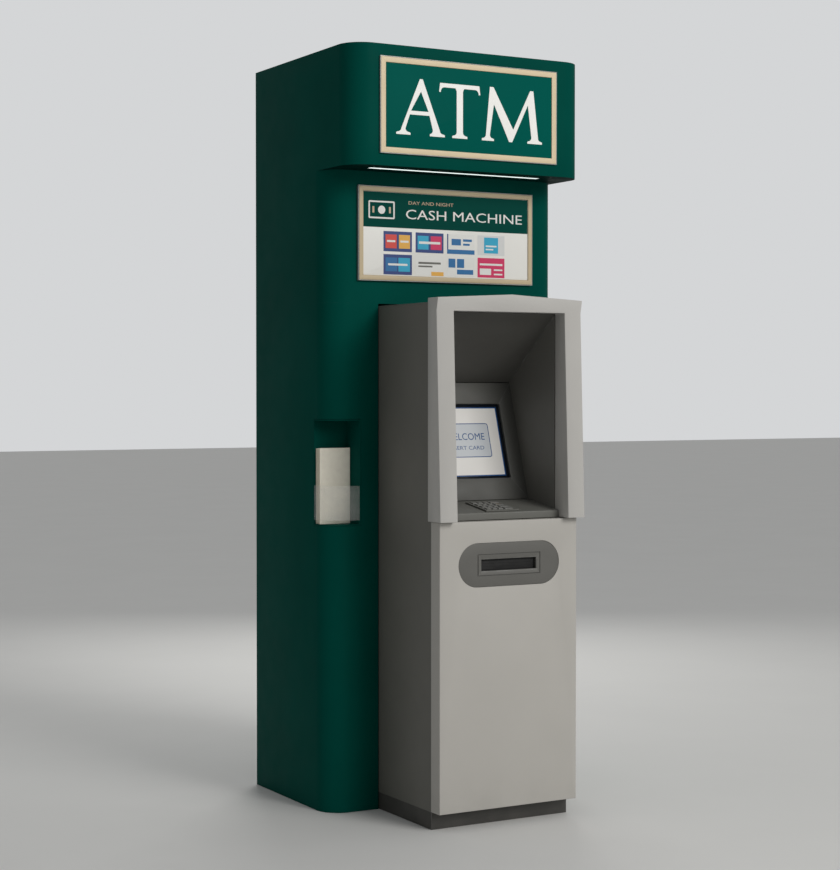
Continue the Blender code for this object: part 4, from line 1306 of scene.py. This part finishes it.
@dataclass(frozen=True)
class Modules:
    """What stands behind the doors: safe, cassette, note dispenser and control unit."""

    def safe(self) -> None:
        """Open-fronted steel box with a turned rim."""
        low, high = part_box("safe_shell")
        plane = facing_front(high[1])
        rim = front_of(low, high, 0.004)
        deep, wall, turn = high[1] - low[1], 0.010, 0.001
        loops = [rim.grown(-turn), rim.grown(0.0, turn), rim.grown(0.0, deep - turn),
                 rim.grown(-turn, deep), rim.grown(-wall + turn, deep),
                 rim.grown(-wall, deep - turn), rim.grown(-wall, wall)]
        piece = Piece("safe_box", "plain_steel", (SAFE_PAINT, STEEL), replaces=("safe_shell",))
        piece.add(skin(loops, 3), 0, plane)
        piece.build()

    def cassette(self) -> None:
        """Cash cassette: a box with a front plate, a bowed handle and a latch."""
        low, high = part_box("cash_cassette")
        piece = Piece("cassette", "recess_grey", (RECESS_GREY, MODULE_GREY, STEEL),
                      replaces=("cash_cassette",))
        piece.add(block((low[0], low[1] + 0.012, low[2]), tuple(high), 0.003, 0.004))
        plane = facing_front(low[1] + 0.0116)
        plate = front_of(low, high, 0.006, 0.004)
        piece.add(slab(plate, 0.004, 0.001), 1, plane)
        angle = np.linspace(0, math.pi, 13)
        grip = np.column_stack([0.048 * np.cos(angle), low[1] + 0.0080 - 0.0050 * np.sin(angle) ** 0.5,
                                np.full(13, low[2] + 0.075)])
        piece.add(tube(grip, 0.0026, 10), 2)
        latch = Loop(0.011, 0.006, 0.0059, 0.004, 0.0, low[2] + 0.036)
        piece.add(slab(latch, 0.002, 0.0006), 2, plane)
        piece.build()

    def dispenser(self) -> None:
        """Note dispenser: side plates, drive rollers on shafts, and a belt guide."""
        low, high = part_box("note_dispenser")
        piece = Piece("dispenser_unit", "plain_steel", (MODULE_GREY, STEEL, RECESS_GREY),
                      replaces=("note_dispenser",))
        for x0, x1 in ((low[0], low[0] + 0.003), (high[0] - 0.003, high[0])):
            piece.add(block((x0, low[1], low[2]), (x1, high[1], high[2]), 0.0006, 0.0012))
        left, right = low[0] + 0.0032, high[0] - 0.0032
        piece.add(block((left, low[1] + 0.060, low[2]), (right, high[1], high[2]), 0.002), 2)
        for row, z in enumerate(np.linspace(low[2] + 0.040, high[2] - 0.040, 6)):
            y = low[1] + 0.028
            xs = np.linspace(left, right, 4)
            piece.add(tube(np.column_stack([xs, np.full(4, y), np.full(4, z)]), 0.0035, 12), 1)
            for x in (-0.075, -0.025, 0.025, 0.075):
                wheel = np.array([(0.004, -0.008), (0.0125, -0.008), (0.0135, -0.006), (0.0135, 0.006),
                                  (0.0125, 0.008), (0.004, 0.008)])
                piece.add(turned(wheel, facing_right(x + 0.004 * (row % 2)), y, z, 24), 2)
        guide = loop_of((-0.060, 0.060), (low[2] + 0.020, high[2] - 0.020), 0.004)
        piece.add(collar(guide, guide.grown(-0.010), 0.003, 0.0008), 0, facing_front(low[1] + 0.006))
        piece.build()

    def control(self) -> None:
        """Control unit: a case with a vented front and a cooling fan's guard."""
        low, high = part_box("control_unit")
        piece = Piece("control_case", "plain_steel", (MODULE_GREY, BLACK, STEEL), replaces=("control_unit",))
        case_low, case_high = (low[0], low[1] + 0.004, low[2]), (high[0], high[1] - 0.004, high[2])
        piece.add(block(case_low, case_high, 0.002, 0.003))
        for plane in (facing_front(low[1] + 0.0041), facing_back(high[1] - 0.0041)):
            # vent slots are black strips, painted shade of openings
            for z in np.arange(low[2] + 0.030, high[2] - 0.160, 0.014):
                piece.add(film((-0.140, 0.020), (z, z + 0.005), 0.0, 0.002), 1, plane)
            for radius in (0.012, 0.024, 0.036, 0.048):
                ring = Loop(radius, radius, radius - 0.0001, 0.0, 0.085, high[2] - 0.085)
                piece.add(collar(ring, ring.grown(-0.0022), 0.0022, 0.0006, 7), 2, plane)
        piece.build()

    def build(self) -> None:
        """Make every module."""
        self.safe()
        self.cassette()
        self.dispenser()
        self.control()


# ---------------------------------------------------------------- fascia

@dataclass(frozen=True)
class Hood:
    """Light grey moulded hood: a gabled frame open at its foot, its face leaning out at both ends."""

    half_w: float = 0.2318
    mouth: float = 0.1780
    back_y: float = -0.3495
    foot: Pair = (-0.4180, 0.8345)  # y and z of the face at its foot
    crease: Pair = (-0.3965, 1.4000)
    top: Pair = (-0.4040, 1.4350)
    peak: float = 1.4470

    def face_y(self, z: Array) -> Array:
        """Straight from foot to crease, then straight on through the top."""
        lean_below = (self.crease[0] - self.foot[0]) / (self.crease[1] - self.foot[1])
        lean_above = (self.top[0] - self.crease[0]) / (self.top[1] - self.crease[1])
        below = self.foot[0] + (z - self.foot[1]) * lean_below
        above = self.crease[0] + (z - self.crease[1]) * lean_above
        return np.where(z > self.crease[1], above, below)

    def section(self, outer: Pair, inner: Pair) -> Array:
        """One station: outer edge at the back, outer and inner edge of the face, inner at the back."""
        ends = np.array([outer, outer, inner, inner])
        ys = self.face_y(ends[:, 1])
        ys[[0, 3]] = self.back_y
        return np.column_stack([ends[:, 0], ys, ends[:, 1]])

    def shell(self) -> Surface:
        """The stations carried up the left leg, over the gable and down the right leg."""
        x, m, low, line = self.half_w, self.mouth, self.foot[1], self.crease[1]
        shoulder, peak = self.top[1], self.peak
        inner_peak = shoulder + (peak - shoulder) * (1 - m / x)
        left = [((-x, low), (-m, low)), ((-x, line), (-m, line)), ((-x, shoulder), (-m, line)),
                ((-m, inner_peak), (-m, line))]
        middle = [((0.0, peak), (0.0, line))]
        right = [((-a[0], a[1]), (-b[0], b[1])) for a, b in left[::-1]]
        return barrel(np.stack([self.section(a, b) for a, b in left + middle + right]))

    def build(self) -> None:
        """Make the hood."""
        piece = Piece("hood_moulding", "light_grey_moulding", (MOULDED_GREY,), "fascia", ("hood_frame",),
                      soften=0.0016, soften_angle=35.0)
        piece.add(self.shell())
        piece.build()


@dataclass(frozen=True)
class Recess:
    """Dark recess behind the hood: side walls and sloping ceiling, inclined panel and key shelf."""

    half_w: float = 0.1780
    ceiling_front: Pair = (-0.3490, 1.4000)
    ceiling_back: Pair = (-0.1135, 1.2112)
    slope_foot: Pair = (-0.2158, 0.8771)
    lip: Pair = (-0.3695, 0.8542)
    fillet: float = 0.0040
    window: Pair = (0.0657, 0.2852)
    window_half: float = 0.1305
    reader_at: Pair = (-0.1180, 0.3230)
    clear: float = 0.0004  # room at each end of the panel and the shelf
    panel_t: float = 0.0040
    shelf_t: float = 0.0050
    shelf_low: float = 0.8345

    def plane_along(self, low: Pair, high: Pair) -> Plane:
        """The plane through the panel's foot whose up runs from one (y, z) point to another."""
        up = np.array(high) - np.array(low)
        up /= np.linalg.norm(up)
        return Plane((0.0, *self.slope_foot), (1.0, 0.0, 0.0), (0.0, *up), (0.0, -up[1], up[0]))

    def slope(self) -> Plane:
        """The inclined panel: up runs from its foot to its head, and out towards the customer."""
        return self.plane_along(self.slope_foot, self.ceiling_back)

    def shelf(self) -> Plane:
        """The key shelf: up runs from its lip to its rear edge, and out is upwards."""
        return self.plane_along(self.lip, self.slope_foot)

    def length(self) -> float:
        """Length of the inclined panel along its slope."""
        return math.dist(self.slope_foot, self.ceiling_back)

    def lining(self) -> tuple[Surface, Surface]:
        """Stations from mouth to rear, each an upside-down U with rounded upper corners.

        A station's foot follows the shelf and then the panel's back, its top the ceiling.

        Returns:
            The walls, and the ceiling with its corners.
        """
        foot, rear = np.array(self.slope_foot), np.array(self.ceiling_back)
        ys = np.array([self.ceiling_front[0], -0.30, foot[0] + 0.0060, -0.16, rear[0] + 0.0030])
        tops = np.interp(ys, [self.ceiling_front[0], rear[0]], [self.ceiling_front[1], rear[1]])
        lows = np.interp(ys, [self.ceiling_front[0], foot[0] + 0.006, rear[0] + 0.004],
                         [self.lip[1] + 0.0012, foot[1] - 0.005, rear[1] - 0.012])
        x, r = self.half_w, self.fillet
        rows = []
        for y, low, top in zip(ys, lows, tops):
            half = np.vstack([[(-x, low)], arc((-x + r, top - r), r, 180, 90, 5)])
            outline = np.vstack([half, half[::-1] * np.array([-1.0, 1.0])])
            rows.append(np.column_stack([outline[:, 0], np.full(len(outline), y), outline[:, 1]]))
        points = np.stack(rows)
        walls = np.zeros((len(rows) - 1, points.shape[1] - 1), bool)
        walls[:, [0, -1]] = True
        return grid(points, keep=walls), grid(points, keep=~walls)

    def panel(self) -> Surface:
        """Inclined panel with a window: a flat ring whose inner edge rolls in towards the glass."""
        length, plane = self.length(), self.slope()
        half, back = self.half_w - self.clear, -self.panel_t
        outer = loop_of((-half, half), (0.0012, length - 0.0030), 0.0012, back)
        inner = loop_of((-self.window_half, self.window_half),
                        (length - self.window[1], length - self.window[0]), 0.0030, back)
        loops = [outer] + rounding(outer.grown(0.0, 0.0034), 0.0006, True)
        loops += rounding(inner.grown(0.0, 0.0028), 0.0012, False)[::-1]
        loops += [inner.grown(0.0, -0.0039), inner.grown(0.0006, -0.0039), inner.grown(0.0014, 0.0)]
        return skin(loops, 5, ring=True).placed(plane)

    def key_shelf(self) -> Surface:
        """Closed side view of the shelf: top, rounded lip, lip front, underside; carried across."""
        rear, lip = np.array(self.slope_foot), np.array(self.lip)
        run = (lip - rear) / np.linalg.norm(lip - rear)
        over = np.array([run[1], -run[0]])
        radius, low, thick = 0.0030, self.shelf_low, over * self.shelf_t
        start = rear + run * 0.0012
        bend = arc((lip[0] + radius, lip[1] - radius), radius, 90 + math.degrees(math.asin(-run[1])), 180, 6)
        under_front, under_rear = lip - run * 0.0060 - thick, start - thick
        profile = np.vstack([[start], bend, [(lip[0], low + 0.0006), (lip[0] + 0.0006, low),
                                             (lip[0] + 0.0050, low)], [under_front, under_rear]])
        return swept(profile, (self.clear - self.half_w, self.half_w - self.clear))

    def screen(self) -> None:
        """Display glass with a plain welcome page."""
        plane, length = self.slope(), self.length()
        middle = length - (self.window[0] + self.window[1]) / 2
        half = (self.window[1] - self.window[0]) / 2
        back = -0.0200
        piece = Piece("display_unit", "display_glass", (GLASS, SCREEN_NAVY, SCREEN_WHITE, SCREEN_GREY),
                      "fascia", ("display",))
        case = Loop(self.window_half + 0.011, half + 0.011, 0.004, back, 0.0, middle)
        piece.add(slab(case, 0.0115, 0.0008), 0, plane)
        top = back + 0.0115
        page = Loop(0.1210, half - 0.0085, 0.001, top, 0.0, middle)
        piece.add(laid(page, 0.0002), 1, plane)
        field_page = Loop(0.1175, half - 0.0118, 0.001, top + 0.0002, 0.0, middle)
        piece.add(laid(field_page, 0.0001), 2, plane)
        ink = top + 0.0003
        card = Loop(0.0820, 0.0500, 0.0080, ink, 0.0030, middle + 0.004)
        piece.add(collar(card, card.grown(-0.0024), 0.0001, 0.00002), 1, plane)
        piece.add(laid(card.grown(-0.0026), 0.00005, 4), 3, plane)
        for words, height, rise, width in (("WELCOME", 0.0200, 0.0150, 0.1300),
                                           ("INSERT CARD", 0.0110, -0.0180, 0.1180)):
            line = lettering(words, height, (0.0030, middle + rise), ink + 0.0001, width, 0.0001)
            piece.add(line, 1, plane)
        piece.build()

    def reader(self) -> None:
        """Card reader mouth: a moulded collar round a slot with a lit bar under it."""
        plane = self.slope()
        u, v = self.reader_at[0], self.length() - self.reader_at[1]
        body = Loop(0.0430, 0.0220, 0.0060, 0.0, u, v)
        slot = Loop(0.0290, 0.0020, 0.0010, 0.0, u, v + 0.002)
        piece = Piece("card_mouth", "recess_grey", (BEZEL_GREY, BLACK, SCREEN_GREY), "fascia",
                      ("card_reader",))
        loops = [body] + rounding(body.grown(0.0, 0.0010), 0.0028, True)
        loops += [slot.grown(0.0045, 0.0038), slot.grown(0.0020, 0.0026), slot.grown(0.0, 0.0022), slot]
        piece.add(skin(loops, 5, ring=True), 0, plane)
        # the slot's depth is a black film, painted shade
        piece.add(laid(slot.grown(0.001, 0.0001), 0.0003, 5), 1, plane)
        piece.add(slab(Loop(0.0240, 0.0012, 0.0011, 0.0037, u, v - 0.0135), 0.0004, 0.0001), 2, plane)
        piece.build()

    def build(self) -> None:
        """Make the lining, the panel, the screen, the reader and the shelf."""
        walls, ceiling = self.lining()
        # The lining's walls take a lighter copy of the grey than its ceiling, and the panel and the shelf
        # copies of their own: painted light and shade.
        Piece("recess_lining", "recess_grey", (RECESS_GREY, WALL_GREY), "fascia", ("recess_liner",),
              wall=0.0018).add(ceiling).add(walls, 1).build()
        Piece("screen_panel", "recess_grey", (PANEL_GREY,), "fascia",
              ("screen_bezel",)).add(self.panel()).build()
        self.screen()
        self.reader()
        Piece("key_ledge", "recess_grey", (SHELF_GREY,), "fascia",
              ("key_shelf",)).add(self.key_shelf()).build()


@dataclass(frozen=True)
class Keypad:
    """Pierced plate on the shelf and sixteen dished keys with printed legends."""

    at: float = 0.0895
    columns: tuple[float, ...] = (-0.0375, -0.0187, 0.0001, 0.0262)
    widths: tuple[float, ...] = (0.0150, 0.0150, 0.0150, 0.0270)
    pitch: float = 0.0250
    depth: float = 0.0190
    lift: float = 0.0018
    rise: float = 0.0047
    room: float = 0.0006
    names: tuple[tuple[str, ...], ...] = (("1", "2", "3", "cancel"), ("4", "5", "6", "clear"),
                                          ("7", "8", "9", "enter"), ("star", "0", "hash", "blank"))

    def plate(self, plane: Plane) -> None:
        """The plate as a grid with the cells under the keys left out."""
        sides = [(x - w / 2 - self.room, x + w / 2 + self.room) for x, w in zip(self.columns, self.widths)]
        us = [-0.0530] + [u for side in sides for u in side] + [0.0530]
        middles = [-self.at + (1.5 - row) * self.pitch for row in range(4)][::-1]
        half = self.depth / 2 + self.room
        vs = [-self.at - 0.0565] + [v for m in middles for v in (m - half, m + half)] + [-self.at + 0.0565]
        u, v = np.meshgrid(us, vs, indexing="ij")
        keep = np.ones((len(us) - 1, len(vs) - 1), bool)
        keep[1::2, 1::2] = False
        points = np.stack([u, v, np.full_like(u, 0.0040)], axis=-1)
        sheet = grid(points, keep=keep)
        # the plate takes the shelf's lighter copy of the recess grey, painted light
        piece = Piece("keypad_panel", "recess_grey", (SHELF_GREY,), "fascia", ("keypad_plate",),
                      wall=0.0036, soften=0.0004, facing=plane.out)
        piece.add(sheet, 0, plane)
        piece.build()

    def cap(self, u: float, v: float, width: float) -> Surface:
        """A key cap: drafted sides, a turned edge, and a shallow dish in the top.

        The dish lowers the last two loops by 0.1 mm and 0.3 mm.
        """
        foot = Loop(width / 2, self.depth / 2, 0.0016, self.lift, u, v)
        loops = [foot, foot.grown(-0.0004, self.rise - 0.0008)]
        loops += rounding(loops[-1], 0.0008, True, 2)[1:]
        loops += [loops[-1].grown(-0.0012, -0.0001), loops[-1].grown(-0.0032, -0.0003)]
        return skin(loops, 4)

    def dish(self) -> float:
        """Height of a cap's dished top, where its print starts."""
        return self.lift + self.rise - 0.00042

    def legend(self, name: str, u: float, v: float) -> Surface | None:
        """The print on a cap."""
        if name.isdigit():
            return lettering(name, 0.0100, (u, v), self.dish(), None, 0.0001)
        marks = {"star": ("*", 0.0070), "hash": ("#", 0.0085), "cancel": ("CANCEL", 0.0046),
                 "clear": ("CLEAR", 0.0046), "enter": ("ENTER", 0.0046)}
        if name not in marks:
            return None
        words, height = marks[name]
        return lettering(words, height, (u, v), self.dish(), None, 0.0001)

    def build(self, plane: Plane) -> None:
        """Make the plate and every key.

        Args:
            plane: the shelf.
        """
        self.plate(plane)
        bands = {"cancel": INK_RED, "clear": INK_AMBER, "enter": SIGN_GREEN}
        for row, names in enumerate(self.names):
            v = -self.at + (1.5 - row) * self.pitch
            for name, u, width in zip(names, self.columns, self.widths):
                key = "key_" + name
                finishes = (KEY_GREY, INK_WHITE, bands.get(name, KEY_GREY))
                piece = Piece(key + "_cap", "key_grey", finishes, key, (key,))
                piece.add(self.cap(u, v, width), 0, plane)
                legend = self.legend(name, u, v + (0.0018 if name in bands else 0.0))
                if legend:
                    piece.add(legend, 1, plane)
                if name in bands:
                    band = loop_of((u - 0.0080, u + 0.0080), (v - 0.0045, v - 0.0030), 0.0004, self.dish())
                    piece.add(laid(band, 0.00012), 2, plane)
                piece.build()


# ---------------------------------------------------------------- lower door

@dataclass(frozen=True)
class LowerDoor:
    """Folded pan door with its cash slot, shutter and lock."""

    half_w: float = 0.2205
    front: float = -0.3947
    back: float = -0.3490
    zs: Pair = (0.0484, 0.8325)
    edge: float = 0.0022
    flange: float = 0.0048  # turned in along the rear edge, clear of the lock's tongue
    bezel_x: float = 0.1615
    bezel_z: Pair = (0.6545, 0.7738)
    groove_x: float = 0.1008
    groove_z: Pair = (0.6839, 0.7431)
    groove_w: float = 0.0022
    groove_deep: float = 0.0022
    bezel_t: float = 0.0085
    bezel_turn: float = 0.0012  # radius of the bezel's turned rim
    slot_x: float = 0.0882
    slot_z: Pair = (0.6975, 0.7289)
    lock: Pair = (-0.3700, 0.4500)
    steps: int = 12

    def stadium(self, grow: float = 0.0) -> Loop:
        """Outline of the round-ended bezel."""
        half = (self.bezel_z[1] - self.bezel_z[0]) / 2
        return Loop(self.bezel_x, half, half - 0.00001, 0.0, 0.0, sum(self.bezel_z) / 2).grown(grow)

    def pan(self) -> Surface:
        """Sheet rolled into the bezel's mouth, across the front, over the edge and back along the side."""
        deep = self.front - self.back
        outer = loop_of((-self.half_w, self.half_w), self.zs, 0.0012, 0.0)
        mouth = self.stadium(0.0003)
        loops = [mouth.grown(0.0, -0.0040)] + rounding(mouth.grown(0.0, -0.0008), 0.0008, False)
        loops += rounding(outer.grown(0.0, -self.edge), self.edge, True, 4)[::-1]
        loops += [outer.grown(0.0, deep), outer.grown(-self.flange, deep)]
        return grid(np.stack([loop.points(self.steps) for loop in loops]), round_columns=True)

    def bezel(self) -> Surface:
        """From the round-ended rim across a groove to the square slot, as one ring."""
        rim = self.stadium(-0.0003)
        groove = loop_of((-self.groove_x, self.groove_x), self.groove_z, 0.0012)
        slot = loop_of((-self.slot_x, self.slot_x), self.slot_z, 0.0010)
        inner = groove.grown(-self.groove_w)
        face, turn = self.bezel_t, self.bezel_turn
        floor = face - self.groove_deep
        loops = [rim, rim.grown(0.0, face - turn)] + rounding(rim.grown(0.0, face - turn), turn, True)[1:]
        loops += [groove.grown(0.0003, face), groove.grown(0.0, face - 0.0004), groove.grown(0.0, floor),
                  inner.grown(0.0, floor), inner.grown(0.0, face - 0.0002),
                  inner.grown(-0.0003, face + 0.0001)]
        loops += [slot.grown(0.0030, face - 0.0004), slot.grown(0.0008, face - 0.0012),
                  slot.grown(0.0, face - 0.0020), slot]
        return skin(loops, self.steps, ring=True)

    def build(self) -> None:
        """Make the door, the bezel, the shutter and the lock."""
        plane = facing_front(self.front)
        Piece("door_pan", "light_grey_paint", (LIGHT_GREY,), "lower_door", ("lower_door",),
              wall=0.0020).add(self.pan(), 0, plane).build()
        Piece("cash_bezel", "bezel_grey", (BEZEL_GREY,), "lower_door", ("dispenser_bezel",)).add(
            self.bezel(), 0, facing_front(self.front + 0.0100)).build()
        self.shutter()
        self.lock_parts()

    def shutter(self) -> None:
        """Black shutter with a finger rib, sliding behind the slot."""
        low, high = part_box("cash_shutter")
        plane = facing_front(high[1])
        piece = Piece("shutter_plate", "plain_steel", (BLACK,), "shutter", ("cash_shutter",))
        piece.add(slab(front_of(low, high, 0.001), 0.0014, 0.0003), 0, plane)
        for z in np.linspace(low[2] + 0.008, high[2] - 0.008, 4):
            rib = loop_of((low[0] + 0.004, high[0] - 0.004), (z - 0.0008, z + 0.0008), 0.0007, 0.0014)
            piece.add(slab(rib, 0.0005, 0.0002), 0, plane)
        piece.build()

    def lock_parts(self) -> None:
        """Key cylinder with its slot, and the tongue it throws."""
        y, z = self.lock
        plane = facing_right(self.half_w)
        face = np.array([(0.0110, -0.0120), (0.0110, 0.0014), (0.0104, 0.0020), (0.0062, 0.0020),
                         (0.0056, 0.0014), (0.0050, 0.0018), (0.0012, 0.0018)])
        piece = Piece("lock_barrel", "plain_steel", (STEEL, BLACK), "lock_cylinder", ("lock_cylinder",))
        piece.add(turned(face, plane, y, z, 36))
        slot = loop_of((y - 0.0008, y + 0.0008), (z - 0.004, z + 0.004), 0.0006, 0.00182)
        # the keyway is a black film, painted shade of a hole
        piece.add(laid(slot, 0.00018), 1, plane)
        piece.build()
        low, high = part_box("lock_bolt")
        Piece("lock_tongue", "plain_steel", (STEEL,), "lock_bolt", ("lock_bolt",)).add(
            block(tuple(low), tuple(high), 0.0010, 0.0015)).build()


# ---------------------------------------------------------------- studio

def aimed(away: Triple) -> Euler:
    """The turn that points a light's beam against a direction: a tilt, then a swing about Z."""
    x, y, z = away
    return Euler((math.atan2(math.hypot(x, y), z), 0.0, math.atan2(x, -y)))


@dataclass(frozen=True)
class Studio:
    """Pale floor, soft lights and the camera."""

    camera_at: Triple = (-2.7531, -4.7256, 1.1919)
    turn: float = -29.302
    tilt: float = -1.311
    lens: float = 77.885
    shift: Pair = (0.0156, -0.0039)

    def camera(self) -> None:
        """Stand the camera before the machine's left front corner, a little above its middle."""
        data = bpy.data.cameras.new("view")
        data.lens, data.sensor_width = self.lens, 36.0
        data.shift_x, data.shift_y = self.shift
        data.clip_start, data.clip_end = 0.05, 60.0
        obj = bpy.data.objects.new("view", data)
        obj.location = self.camera_at
        obj.rotation_euler = Euler((math.radians(90 + self.tilt), 0.0, math.radians(self.turn)))
        bpy.context.scene.collection.objects.link(obj)
        bpy.context.scene.camera = obj

    def light(self, name: str, place: Triple, aim: Triple,
              size: Pair, watts: float) -> None:
        """A soft rectangular light.

        Args:
            name: its name.
            place: where it stands.
            aim: the point it faces.
            size: width and height.
            watts: power.
        """
        data = bpy.data.lights.new(name, "AREA")
        data.shape, data.size, data.size_y = "RECTANGLE", *size
        data.energy, data.color = watts, WARM_WHITE
        obj = bpy.data.objects.new(name, data)
        obj.location = place
        obj.rotation_euler = aimed(np.array(place) - np.array(aim))
        bpy.context.scene.collection.objects.link(obj)

    def sun(self, direction: Triple, strength: float, spread: float) -> None:
        """Broad even light from a direction, its edge softened by a spread in degrees."""
        data = bpy.data.lights.new("even", "SUN")
        data.energy, data.angle, data.color = strength, math.radians(spread), WARM_WHITE
        obj = bpy.data.objects.new("even", data)
        obj.rotation_euler = aimed(direction)
        bpy.context.scene.collection.objects.link(obj)

    def build(self) -> None:
        """Set out the floor, the lights and the camera."""
        self.camera()
        loop = Loop(30.0, 30.0, 0.5, -0.004)
        surface = skin([loop, loop.grown(0.0, 0.0035)], 8)
        mesh = bpy.data.meshes.new("studio_floor")
        mesh.from_pydata(surface.points, [], surface.faces)
        floor = bpy.data.objects.new("studio_floor", mesh)
        mesh.materials.append(FLOOR.material())
        bpy.context.scene.collection.objects.link(floor)
        self.light("key", (1.1, -3.6, 3.0), (0.0, 0.0, 1.2), (1.8, 1.4), 46.0)
        self.sun((1.1, -3.6, 1.8), 0.72, 24.0)
        self.light("rear", (1.6, 3.2, 2.4), (0.0, 0.3, 1.0), (2.0, 1.6), 40.0)
        bpy.context.scene.world = self.surroundings()
        bpy.context.scene.view_settings.view_transform = "Standard"

    def surroundings(self) -> bpy.types.World:
        """Pale even surroundings, dimmer to the left, that show to the camera as a plain grey.

        Returns:
            The world.
        """
        world = bpy.data.worlds.new("studio")
        world.use_nodes = True
        tree = world.node_tree
        back = tree.nodes["Background"]
        back.inputs["Color"].default_value = (0.92, 0.93, 0.94, 1.0)
        where, apart, side, seen, choice, ray = (
            tree.nodes.new("ShaderNode" + kind)
            for kind in ("TexCoord", "SeparateXYZ", "MapRange", "Background", "MixShader", "LightPath"))
        for name, value in (("From Min", -0.9), ("From Max", 0.2), ("To Min", 0.24), ("To Max", 0.44)):
            side.inputs[name].default_value = value
        seen.inputs["Color"].default_value = (0.66, 0.67, 0.68, 1.0)
        for source, target in ((where.outputs["Generated"], apart.inputs[0]),
                               (apart.outputs[0], side.inputs["Value"]),
                               (side.outputs["Result"], back.inputs["Strength"]),
                               (ray.outputs["Is Camera Ray"], choice.inputs[0]),
                               (back.outputs[0], choice.inputs[1]),
                               (seen.outputs[0], choice.inputs[2]),
                               (choice.outputs[0], tree.nodes["World Output"].inputs["Surface"])):
            tree.links.new(source, target)
        return world


def main() -> None:
    """Build every sub-assembly in order."""
    logging.basicConfig(level=logging.INFO, format="%(message)s")
    Studio().build()
    Surround().build()
    Envelopes().build()
    RearDoor().build()
    Sign().build()
    Downlight().build()
    InfoPanel().build()
    Cabinet().build()
    Modules().build()
    Hood().build()
    recess = Recess()
    recess.build()
    Keypad().build(recess.shelf())
    LowerDoor().build()


if __name__ == "__main__":
    main()
